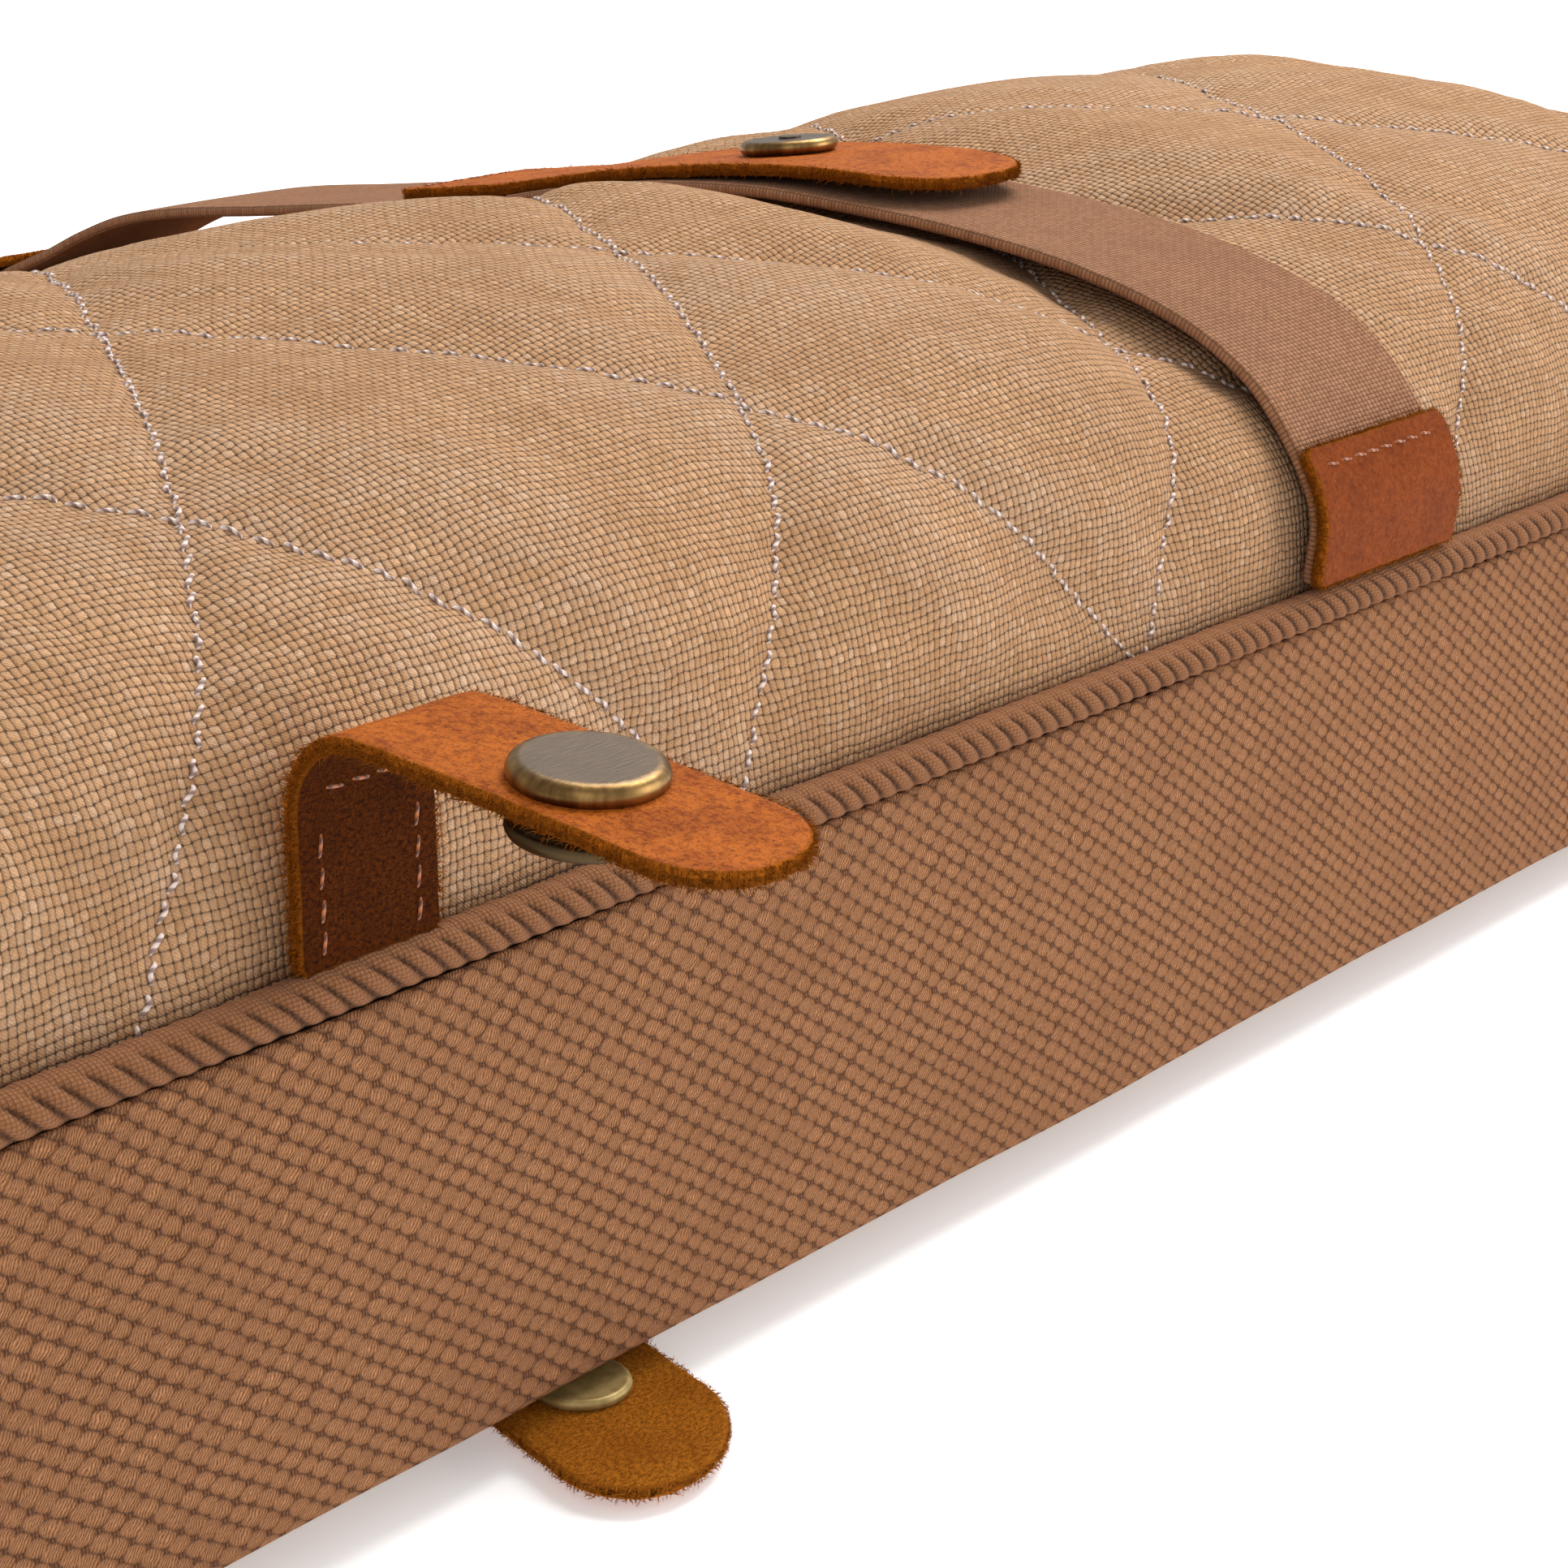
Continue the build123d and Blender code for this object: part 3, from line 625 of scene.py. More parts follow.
def band_material():
    """Plain weave of thick weft lumps, offset row by row, over fine warp yarns."""
    f = Finish("basket_webbing", 0.96, sheen=0.06, specular=0.08)
    wander = (f.noise(0.09, 2.0, shift=4.0) - 0.5) * 0.9
    loose = (f.noise(0.42, 2.0, shift=24.0) - 0.5) * 0.7
    u, v = f.u * (1 / 1.66) + wander * 0.6 + loose, f.v * (1 / 1.21) + wander * 0.5 - loose * 0.6
    a, b = (u + v) * 0.5 + 0.5, (u - v) * 0.5 + 0.5
    pa, pb = a.part() - 0.5, b.part() - 0.5
    du, dv = pa + pb, pa - pb
    fibre = f.noise(3.6, 4.0, stretch=2.2, shift=2.0, rough=0.7)
    cell = f.cell_noise(a.floor(), b.floor())
    size = cell * 0.30 + 0.86
    slip = (f.cell_noise(a.floor(), b.floor(), 7.0) - 0.5) * 0.24
    du, dv = du + slip, dv - slip * 0.7
    reach = (du * du * 1.22 + dv * dv * 1.30 + du * dv * 0.42) * size + (fibre - 0.5) * 0.8
    lump = ((reach * -1.0) + 1.0).clamped()
    yarn = (du * 27.0 - dv * 15.0 + fibre * 3.0).sine() * 0.5 + 0.5
    warp = (f.u * 17.0).sine() * 0.5 + 0.5
    tone = f.mixed(
        (0.32, 0.125, 0.044),
        ((0.56, 0.236, 0.092), (cell * 0.35 + fibre * 0.85).clamped()),
        # Painted highlight: lighter yarn lines across the tops of the lumps.
        ((0.70, 0.36, 0.180), yarn.ramp(0.45, 1.0) * lump * 0.60),
        # Painted shade: dark lines between the yarns, and darker towards each lump's edge.
        ((0.13, 0.046, 0.016), yarn.ramp(0.42, 0.02) * fibre.ramp(0.70, 0.40) * 0.85),
        ((0.15, 0.055, 0.020), lump.ramp(0.56, 0.10) * 0.66),
        ((0.27, 0.10, 0.036), f.noise(0.04, 3.0, shift=12.0).ramp(0.42, 0.72) * 0.22))
    # The ground between the lumps: the warp yarns' own stripes, darkened with painted shade for the recess.
    ground = f.mixed((0.090, 0.032, 0.012), ((0.26, 0.098, 0.038), warp))
    tone = f.mixed(ground, (tone, lump.ramp(0.02, 0.34)),
                   ((0.62, 0.20, 0.04), f.noise(0.5, 1.0, shift=41.0).ramp(0.79, 0.81) * 0.5))
    height = lump.power(0.7) + yarn * lump * 0.16 + warp * 0.08 + fibre * 0.22
    return f.finish(tone, height, depth=1.15)


def piping_material():
    f = Finish("corded_piping", 0.96, sheen=0.06, specular=0.08)
    rib = f.attribute("rib")
    height, cu, cv = plain_weave(f, 0.52, 0.46, 0.8)[:3]
    fibre = f.noise(3.0, 4.0, shift=2.0, rough=0.7)
    tone = f.mixed(
        (0.17, 0.064, 0.024),
        # Partly painted highlight: the rib value lightens the rib crests, along with the fibre and thread
        # tones.
        ((0.34, 0.144, 0.060), (rib * 0.45 + fibre * 0.5 + f.cell_noise(cu, cv) * 0.15).clamped()),
        # Painted shade: darker in the weave's gaps, and near black in the grooves between the ribs.
        ((0.10, 0.042, 0.018), height.ramp(0.55, 0.15) * 0.45),
        ((0.045, 0.016, 0.006), rib.ramp(0.72, 0.12) * 0.86))
    return f.finish(tone, rib * 0.3 + height * 0.45 + fibre * 0.3, depth=0.34)


def strap_material():
    f = Finish("ribbed_webbing", 0.95, sheen=0.06, specular=0.08)
    height, cu, cv = plain_weave(f, 0.85, 0.62, 0.25)[:3]
    fibre = f.noise(4.0, 3.0, shift=2.0)
    tone = f.mixed(
        (0.27, 0.115, 0.052),
        ((0.42, 0.205, 0.105), (f.cell_noise(cu, cv) * 0.6 + fibre * 0.4).clamped()),
        # Painted shade: darker in the weave's gaps.
        ((0.09, 0.04, 0.02), height.ramp(0.55, 0.15) * 0.7),
        ((0.22, 0.10, 0.05), f.noise(0.06, 3.0, shift=7.0).ramp(0.4, 0.7) * 0.3))
    return f.finish(tone, height * 0.8 + fibre * 0.15, depth=0.3)


def tape_material():
    f = Finish("folded_tape", 0.95, sheen=0.06, specular=0.08)
    height, cu, cv = plain_weave(f, 0.6, 0.6, 0.25)[:3]
    fibre = f.noise(4.0, 3.0, shift=2.0)
    tone = f.mixed(
        (0.24, 0.115, 0.06),
        ((0.36, 0.19, 0.11), (f.cell_noise(cu, cv) * 0.6 + fibre * 0.4).clamped()),
        # Painted shade: darker in the weave's gaps.
        ((0.08, 0.035, 0.018), height.ramp(0.5, 0.1) * 0.6))
    return f.finish(tone, height * 0.8 + fibre * 0.2, depth=0.22)


def lining_material():
    f = Finish("plain_lining", 0.92, sheen=0.05, specular=0.1)
    height, cu, cv = plain_weave(f, 0.4, 0.4, 0.3)[:3]
    fibre = f.noise(1.2, 3.0, shift=2.0)
    share = (f.cell_noise(cu, cv) * 0.4 + fibre * 0.5).clamped()
    tone = f.mixed((0.15, 0.095, 0.062), ((0.21, 0.14, 0.095), share))
    return f.finish(tone, height * 0.6 + fibre * 0.4, depth=0.15)


def leather_material(name, grain, grain_dark, flesh, flesh_dark, edge):
    f = Finish(name, 0.6, specular=0.06)
    flesh_share = f.attribute("flesh").ramp(0.35, 0.65)
    rim_share = f.attribute("edge").ramp(0.25, 0.8)
    cloud = f.noise(0.14, 4.0, shift=1.0)
    mottle = f.noise(0.9, 5.0, shift=5.0, rough=0.72)
    pore = f.noise(2.4, 4.0, shift=9.0, rough=0.8)
    nap = f.noise(1.5, 6.0, stretch=0.6, shift=14.0, rough=0.95)
    fuzz = f.noise(2.4, 4.0, shift=21.0, rough=0.85)
    pulled = f.noise(1.5, 5.0, shift=25.0, rough=0.85)
    top = f.mixed(
        grain,
        (grain_dark, (cloud.ramp(0.38, 0.66) * 0.45 + mottle.ramp(0.44, 0.62) * 0.65).clamped()),
        ((0.070, 0.014, 0.003), pore.ramp(0.515, 0.62) * 0.66),
        ((0.62, 0.235, 0.060), pulled.ramp(0.54, 0.74) * 0.45))
    rough_side = f.mixed(
        flesh, (flesh_dark, nap.ramp(0.45, 0.56) * 0.95), (flesh_dark, cloud.ramp(0.4, 0.75) * 0.4),
        (edge, fuzz.ramp(0.54, 0.70) * 0.45))
    rim = f.mixed(edge, (flesh_dark, fuzz.ramp(0.44, 0.68) * 0.85))
    tone = f.mixed(top, (rough_side, flesh_share), (rim, rim_share))
    wear = (flesh_share * 0.34 + rim_share * 0.38 + 0.50 + mottle * 0.14).clamped()
    height = pore * 0.45 + mottle * 0.35 + nap * 2.6 * flesh_share + fuzz * 1.4 * rim_share
    return f.finish(tone, height, depth=0.42, roughness=wear)


def thread_material(name, light, dark):
    f = Finish(name, 0.6, sheen=0.25, specular=0.4)
    # Painted shade: the dark tone lies in the grooves between the twisted plies.
    twist = ((f.u * 5.4) + (f.v * 3.4)).sine() * 0.5 + 0.5
    return f.finish(f.mixed(dark, (light, twist.ramp(0.1, 0.7))), twist, depth=0.16)


def brass_material():
    f = Finish("antique_brass", 0.42, metallic=1.0)
    rim = f.attribute("rim")
    brush = f.noise(3.4, 3.0, stretch=7.0, shift=2.0)
    cloud = f.noise(0.35, 3.0, shift=4.0)
    worn = f.mixed((0.12, 0.064, 0.022), ((0.36, 0.215, 0.075), cloud.ramp(0.35, 0.7)))
    tone = f.mixed((0.085, 0.062, 0.043), ((0.15, 0.112, 0.080), (brush * 0.6 + cloud * 0.4).clamped()),
                   (worn, rim))
    return f.finish(tone, brush, depth=0.025, roughness=(brush * 0.16 + 0.36 - rim * 0.06).clamped())


def satin_brass_material():
    f = Finish("satin_brass", 0.5, metallic=0.55, specular=0.4)
    cloud = f.noise(0.7, 4.0, shift=4.0)
    share = (cloud.ramp(0.35, 0.7) * 0.7 + f.attribute("rim") * 0.3).clamped()
    tone = f.mixed((0.27, 0.185, 0.060), ((0.47, 0.34, 0.135), share))
    return f.finish(tone, cloud, depth=0.03, roughness=(cloud * 0.2 + 0.36).clamped())


def dark_brass_material():
    f = Finish("dark_brass", 0.4, metallic=1.0)
    cloud = f.noise(0.6, 4.0, shift=4.0)
    tone = f.mixed((0.020, 0.015, 0.010), ((0.042, 0.032, 0.021), cloud),
                   ((0.085, 0.056, 0.026), f.attribute("rim")))
    return f.finish(tone, cloud, depth=0.02, roughness=(cloud * 0.2 + 0.32).clamped())


CANVAS = canvas_material()
BAND = band_material()
PIPING = piping_material()
WEBBING = strap_material()
TAPE = tape_material()
LINING = lining_material()
# Leather of the tongue and front tabs: its flesh side colours are partly the leather's own and partly painted
# shade for the shade under the tabs' elbows.
HIDE = leather_material("pull_up_leather", (0.53, 0.135, 0.014), (0.25, 0.048, 0.004),
                        (0.21, 0.044, 0.002), (0.040, 0.008, 0.001), (0.56, 0.155, 0.010))
# Leather of the strap patches: the tabs' leather with its grain painted darker, as painted shade on the panel's
# steep sides.
HIDE_SHADED = leather_material("leather_painted_shade", (0.25, 0.050, 0.003), (0.155, 0.027, 0.002),
                             (0.17, 0.035, 0.002), (0.040, 0.008, 0.001), (0.52, 0.145, 0.009))
HIDE_ROUGH = leather_material("rough_leather", (0.53, 0.135, 0.014), (0.25, 0.048, 0.004),
                              (1.0, 0.36, 0.026), (0.38, 0.092, 0.006), (0.76, 0.25, 0.022))
# The second colour of each thread is painted shade between its plies.
THREAD = thread_material("quilt_thread", (0.78, 0.63, 0.56), (0.26, 0.165, 0.135))
BROWN_THREAD = thread_material("tan_thread", (0.46, 0.13, 0.03), (0.13, 0.03, 0.006))
BRASS = brass_material()
DARK_BRASS = dark_brass_material()
SATIN_BRASS = satin_brass_material()


# ---------------------------------------------------------------- quilted panels

# Stitch lines of both families: their numbers, and where they start along the panel's near edge
LINE_N = np.arange(-8, 14)
LINE_X = np.concatenate([-165.7 + 80.0 * np.arange(-8, 0), [-165.7, -86.5, -12.3, 57.0],
                         57.0 + 69.0 * np.arange(1, 11)])
A_SLOPE, B_SLOPE = 0.60, 0.90
B_START = -150.0        # the B lines begin beyond this


def section(x, inset, columns):
    """Evenly spaced points across the stuffed front at x."""
    half = half_width_at(x, DOME_HALF - inset, DOME_END - inset, BAND_CORNER - DOME_INSET)
    c = np.cos(np.linspace(math.pi, 0, 700))
    y = np.sign(c) * np.abs(c) ** (2 / ROUNDNESS) * half
    z = front_height(x, y, inset)
    return resample(np.stack([y, z], 1), columns)


def front_grid(inset, start, step):
    """Grid over the front at an inset, with lengths along and across it."""
    end = DOME_END - inset
    x = np.concatenate([np.linspace(start, end - 40, 500)[:-1], end - 40 * np.linspace(1, 0, 900) ** 2.5])
    spine = np.stack([x, crown_at(x, inset)], 1)
    line = resample(spine, int(run_lengths(spine)[-1] / step))
    columns = int(312 / step)
    points = np.zeros((len(line), columns, 3))
    across = np.zeros((len(line), columns))
    for i, place in enumerate(line[:, 0]):
        points[i, :, 0] = place
        points[i, :, 1:] = section(place, inset, columns)
        across[i] = run_lengths(points[i])
    moves = np.linalg.norm(np.diff(points, axis=0), axis=2)
    along = start + np.vstack([np.zeros((1, columns)), np.cumsum(moves, axis=0)])
    return points, along, across


def line_distances(u, s):
    """Distances to the nearest stitch line of each family, and lengths along them."""
    a = np.interp(u - A_SLOPE * s, LINE_X, LINE_N)
    b = np.interp(u + B_SLOPE * s, LINE_X, LINE_N)
    to_a = np.abs(a - np.round(a)) * 74 / math.hypot(1, A_SLOPE)
    to_b = np.abs(b - np.round(b)) * 74 / math.hypot(1, B_SLOPE)
    return to_a, to_b, s * math.hypot(1, A_SLOPE), s * math.hypot(1, B_SLOPE)


def quilt_relief(u, s, depth, seed):
    """Height of the pillows between the stitch lines, with puckers and soft creases."""
    to_a, to_b, on_a, on_b = line_distances(u, s)
    well_a = np.exp(-np.sqrt(to_a ** 2 + 1.2) / 8.5)
    well_b = np.exp(-np.sqrt(to_b ** 2 + 1.2) / 8.5)
    sewn = smooth((u + B_SLOPE * s - B_START) / 20)
    relief = -depth * (1 - (1 - well_a) * (1 - well_b * sewn)) * (1 - 0.35 * smooth((u - 60) / 40))
    relief -= 0.35 * np.exp(-(to_a / 1.1) ** 2) + 0.35 * sewn * np.exp(-(to_b / 1.1) ** 2)
    puckers = (fractal(on_a / 6.5, to_a / 24 + np.round(u / 300), seed) * np.exp(-to_a / 8)
               + fractal(on_b / 6.5, to_b / 24, seed + 5) * np.exp(-to_b / 8))
    over_b = (u + B_SLOPE * s) / math.hypot(1, B_SLOPE)
    along_b = (s - B_SLOPE * u) / math.hypot(1, B_SLOPE)
    creases = fractal(over_b / 11, along_b / 55, seed + 9)
    waves = noise(u / 34, s / 34, seed + 13)
    relief = relief + depth * 0.13 * puckers + depth * 0.15 * creases + depth * 0.20 * waves
    relief = np.maximum(relief, -1.27 * depth)
    rub = np.clip(0.2 + creases * 1.0 + 0.35 * puckers, 0, 1)
    return relief, rub


def front_quilt():
    """The quilted canvas of the front; also returns what a line on it needs."""
    start = MOUTH_X + 1.4
    points, along, across = front_grid(0.0, start, 1.2)
    relief, rub = quilt_relief(along, across, FRONT_PILLOW, 2)
    total = across[:, -1:]
    hold = smooth(across / 16) * smooth((total - across) / 16)
    hold = hold * smooth((points[:, :1, 0] - (MOUTH_X + TAPE_DEPTH - 1)) / 18)
    run_down = smooth((along[-1:, :] - along) / 14)
    tape = -0.9 * (1 - smooth((points[..., 0] - (MOUTH_X + TAPE_DEPTH - 2.5)) / 3.0))
    normals = grid_normals(points)
    lift = (relief + 0.7) * hold * run_down
    under = smooth((STRAP_X + STRAP_WIDTH / 2 + 7 - points[..., 0]) / 6) * smooth(
        (points[..., 0] - STRAP_X + STRAP_WIDTH / 2 + 7) / 6)
    lift = np.where(lift > 0, lift * (1 - under), lift)
    moved = points + normals * (lift + tape)[..., None]
    edge_low = np.array([0, 0, -2.0])
    sides = np.concatenate([moved[:, :1] + edge_low, moved, moved[:, -1:] + edge_low], 1)
    sides = np.concatenate([sides, sides[-1:] + edge_low], 0)
    uv = np.stack([along, across], -1)
    uv = np.concatenate([uv[:, :1] - [0, 2], uv, uv[:, -1:] + [0, 2]], 1)
    uv = np.concatenate([uv, uv[-1:] + [2, 0]], 0)
    rub = np.pad(rub, ((0, 1), (1, 1)), mode="edge")
    piece = grid_piece("front_quilt", sides, uv, CANVAS, {"rub": rub})
    return piece, (moved, grid_normals(moved), along, across)


def on_grid(surface, u, s):
    """Points and normals of the quilted surface at lengths u along and s across."""
    moved, normals, along, across = surface
    rows, columns = along.shape
    middle = columns // 2
    i = np.interp(u, along[:, middle], np.arange(rows))
    j = np.zeros_like(i)
    for _ in range(6):
        i0 = np.clip(np.round(i).astype(int), 0, rows - 1)
        width = across[i0, -1]
        j = np.clip(s / width * (columns - 1), 0, columns - 1.001)
        j0 = j.astype(int)
        here = along[i0, j0]
        row_step = np.maximum(np.median(np.diff(along[:, middle])), 0.1)
        i = np.clip(i + (u - here) / row_step * 0.9, 0, rows - 1.001)
    i0, j0 = i.astype(int), j.astype(int)
    fi, fj = (i - i0)[:, None], (j - j0)[:, None]

    def take(field):
        return ((field[i0, j0] * (1 - fj) + field[i0, j0 + 1] * fj) * (1 - fi)
                + (field[i0 + 1, j0] * (1 - fj) + field[i0 + 1, j0 + 1] * fj) * fi)
    return take(moved), take(normals), (s <= across[i0, -1] - 1) & (i < rows - 3) & (i > 0.5)


def quilt_lines(surface, low_x):
    """The two families of stitch lines over a quilted panel."""
    found = []
    for slope in (A_SLOPE, -B_SLOPE):
        for x0 in LINE_X[LINE_X > (B_START if slope < 0 else LINE_X[0] - 1)]:
            s = np.arange(0.5, 330, 0.8)
            u = x0 + slope * s
            inside = (u > low_x) & (u < surface[2].max() - 2)
            if inside.sum() < 20:
                continue
            points, normals, kept = on_grid(surface, u[inside], s[inside])
            points, normals = points[kept], normals[kept]
            if len(points) > 20:
                found.append((points, normals))
    return found


def back_height(x, y, half):
    out = np.maximum((np.abs(y) - FLAT_HALF) / np.maximum(half - FLAT_HALF, 1),
                     (x - (END_X - HALF + FLAT_HALF)) / (BACK_HALF - FLAT_HALF))
    out = np.clip(out, 0, 1)
    return BACK_RISE * np.where(out < 0.15, out * out / 0.3, out - 0.075) / 0.925


def back_grid(step, start):
    xs = np.linspace(start, BACK_END, int((BACK_END - start) / step))
    columns = int(280 / step)
    share = np.linspace(-1, 1, columns)
    half = half_width_at(xs, BACK_HALF, BACK_END, BACK_CORNER)[:, None]
    y = half * share[None]
    x = np.broadcast_to(xs[:, None], y.shape)
    return np.stack([x, y, back_height(x, y, half)], -1)


def under_lines():
    """The stitch lines under the back panel, with their normals."""
    found = []
    for slope in (A_SLOPE, -B_SLOPE):
        for x0 in LINE_X:
            s = np.arange(14, 286, 1.2)
            u = x0 + slope * s
            reach = half_width_at(u, HALF - 12, END_X - 12, BACK_CORNER)
            fits = (u > MOUTH_X + TAPE_DEPTH + 2) & (u < END_X - 12) & (np.abs(s - BACK_MIDDLE) < reach)
            if fits.sum() < 20:
                continue
            x, y = u[fits], s[fits] - BACK_MIDDLE
            half = half_width_at(x, BACK_HALF, BACK_END, BACK_CORNER)
            lift = np.maximum(-quilt_relief(x, y + BACK_MIDDLE, BACK_PILLOW, 31)[0], 0.45) - 0.1
            points = np.stack([x, y, back_height(x, y, half) + lift], 1)
            found.append((points, np.tile([0.0, 0.0, -1.0], (len(points), 1))))
    return found


def panels():
    front, surface = front_quilt()
    lining, along, across = front_grid(SKIN + 1.4, MOUTH_X + 3, 4.0)
    flat = np.stack([along, across], -1)
    shallow = quilt_relief(along, across, 1.0, 21)[0]
    lining = lining - grid_normals(lining) * (0.3 + shallow * smooth(across / 20) * 0.8)[..., None]
    sag = 6.5 * (1 - side_share(lining[..., 1] / DOME_HALF))
    lining[..., 2] -= sag * smooth((lining[..., 0] - MOUTH_X - 6) / 16)
    low = lining[:, :1] + np.array([0, -6.5, -2.5])
    high = lining[:, -1:] + np.array([0, 6.5, -2.5])
    lining = np.concatenate([low, lining, high], 1)
    flat = np.concatenate([flat[:, :1] - [0, 6], flat, flat[:, -1:] + [0, 6]], 1)
    lining = np.concatenate([lining, lining[-1:] + np.array([6.5, 0, -2.5])], 0)
    flat = np.concatenate([flat, flat[-1:] + [6, 0]], 0)
    inner = grid_piece("front_lining_skin", lining, flat, LINING, flip=True)
    bed = back_grid(1.7, MOUTH_X + TAPE_DEPTH - 2)
    relief, rub = quilt_relief(bed[..., 0], bed[..., 1] + BACK_MIDDLE, BACK_PILLOW, 31)
    edge = smooth((1 - np.abs(np.linspace(-1, 1, bed.shape[1])))[None] * 10)
    edge = edge * smooth((BACK_END - bed[..., 0]) / 14)
    under = bed.copy()
    under[..., 2] = np.maximum(under[..., 2] + np.maximum(-relief * edge, 0.0), 0.3)
    back = grid_piece("back_quilt", under, bed[..., :2], CANVAS, {"rub": rub}, flip=True)
    floor = back_grid(4.0, MOUTH_X + 3)
    floor_relief = quilt_relief(floor[..., 0], floor[..., 1] + BACK_MIDDLE, 1.2, 41)[0]
    floor[..., 2] += SKIN + 0.4 + floor_relief * 0.8
    back_inner = grid_piece("back_lining_skin", floor, floor[..., :2], LINING)
    lines = quilt_lines(surface, MOUTH_X + TAPE_DEPTH + 1)
    for name, rows, radius in (("front_quilt_thread", lines, 0.27), ("back_quilt_thread", under_lines(), 0.31)):
        thread = stitches(name, rows, THREAD, *QUILT_STITCH, radius, slant=0.1)
        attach(thread, "sleeve")
    for piece, slot, fill, *nodes in (
            (front, "canvas", 0.9, "front_canvas", "front_padding"), (inner, "lining", 0.9, "front_lining"),
            (back, "canvas", 0.3, "back_canvas", "back_padding"), (back_inner, "lining", 0.3, "back_lining")):
        dress(piece, slot, "sleeve", *nodes)


# ---------------------------------------------------------------- gusset, seams and mouth

def leaning(z):
    """How far in the band leans at height z."""
    return BAND_LEAN * (z - BACK_RISE) / BAND_HEIGHT


def gusset():
    profile = [(7.5, -0.2), (4.0, -0.7), (1.6, -0.75), (0.6, -0.35), (0.15, 0.5)]
    for k in range(30):
        h = 1.4 + (BAND_HEIGHT - 2.6) * k / 29
        profile.append((BAND_LEAN * h / BAND_HEIGHT - 0.55 * math.sin(math.pi * h / BAND_HEIGHT), h))
    profile += [(BAND_LEAN - 0.1, BAND_HEIGHT - 0.1), (BAND_LEAN + 0.3, BAND_HEIGHT + 0.65),
                (BAND_LEAN + 1.2, BAND_HEIGHT + 0.1), (BAND_LEAN + 2.4, BAND_HEIGHT - 0.9),
                (BAND_LEAN + 4.8, BAND_HEIGHT - 1.9)]
    profile = resample(np.array(profile, float), 64)
    height = run_lengths(profile)
    line, outward, length = u_path(0.0, MOUTH_X + 1.3, 1.4)
    wave = (0.5 * noise(length[:, None] / 52, height[None] / 40, 3)
            + 0.22 * noise(length[:, None] / 15, height[None] / 18, 4))
    inset = profile[None, :, 0] - wave * smooth(height / 8)[None]
    droop = 0.5 * noise(length / 45, length * 0, 6)[:, None] * (1 - smooth(height / 22))[None]
    points = beside(line, outward, inset, BACK_RISE + profile[None, :, 1] + droop)
    band = grid_piece("gusset_webbing", points, spread(length[:, None], height[None]), BAND, flip=True)
    dress(band, "gusset_webbing", "sleeve", "gusset_band")
    z = np.linspace(BACK_RISE + 6.6, BAND_TOP - 0.6, 16)
    line, outward, length = u_path(0.0, MOUTH_X + 3, 4.0)
    inner = beside(line, outward, 5.6 + leaning(z)[None], z)
    lining = grid_piece("gusset_lining_skin", inner, spread(length[:, None], z[None]), LINING)
    dress(lining, "lining", "sleeve", "gusset_lining")
    front = tube_along_u("front_cord_piping", SEAM_INSET, PIPING_Z, PIPING_RADIUS)
    back = tube_along_u("back_cord_piping", BACK_PIPING_INSET, BACK_PIPING_Z, BACK_PIPING_RADIUS)
    dress(front, "piping_cloth", "sleeve", "front_piping")
    dress(back, "piping_cloth", "sleeve", "back_piping")


def mouth():
    """Folded tapes round the raw edges of the mouth."""
    half_fold = np.array([12.9, 12.6, 9, 5, 2, 0.7, 0.15])
    x = MOUTH_X + np.concatenate([half_fold, [0], half_fold[::-1]])
    depth = np.array([0.5, -0.3, -0.35, -0.35, -0.3, 0.1, 1.3, 4.2, 7.1, 8.3, 8.8, 8.9, 8.9, 8.8, 7.6])
    run = run_lengths(np.stack([x, depth], 1))
    rows, flat = [], []
    for k in range(len(x)):
        points = section(max(x[k], MOUTH_X), depth[k], 360)
        length = run_lengths(points)
        ripple = 0.16 * noise(length / 7, length * 0 + k * 0.25, 3)
        rows.append(spread(x[k], points[:, 0], points[:, 1] + ripple))
        flat.append(spread(length, run[k]))
    front = grid_piece("front_mouth_tape", np.array(rows), np.array(flat), TAPE)
    reach = HALF - 6.2
    y = np.linspace(-reach, reach, 200)
    z = back_height(np.full(200, MOUTH_X), y, BACK_HALF)
    points = spread(x[:, None], y, z + np.clip(depth, 0.3, 8.5)[:, None])
    back = grid_piece("back_mouth_tape", points, spread(y, run[:, None]), TAPE, flip=True)
    z = np.linspace(BACK_RISE - 1.0, BAND_TOP + 0.9, 24)
    off = -1.1 + np.clip(depth + 0.3, 0, 9)[:, None] * 0.86 + leaning(z)
    verts = [spread(x[:, None], way * (HALF - off), z).reshape(-1, 3) for way in (-1, 1)]
    faces = [grid_faces(len(x), 24, flip=way > 0, first=first) for way, first in ((-1, 0), (1, len(x) * 24))]
    uv = spread(z[None], run[:, None]).reshape(-1, 2)
    side = make_mesh("gusset_mouth_tape", np.vstack(verts), np.vstack(faces), np.vstack([uv, uv]), TAPE)
    edge = section(MOUTH_X + 10.6, -0.55, 500)
    points = spread(MOUTH_X + 10.6, edge[:, 0], edge[:, 1])
    normals = np.gradient(edge, axis=0)
    normals = spread(0.0, -normals[:, 1], normals[:, 0])
    thread = stitches("mouth_tape_thread", [(points, normals)], BROWN_THREAD, *TAPE_STITCH, 0.26)
    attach(thread, "sleeve")
    around = float(run_lengths(section(MOUTH_X, 0.0, 360))[-1])
    for piece, cut, node in ((front, around, "front_mouth_binding"), (back, 2 * reach, "back_mouth_binding"),
                             (side, 2 * (BAND_HEIGHT + 1.9), "gusset_mouth_tapes")):
        dress(piece, "binding_tape", "sleeve", node)
        cut * MM


# ---------------------------------------------------------------- strap

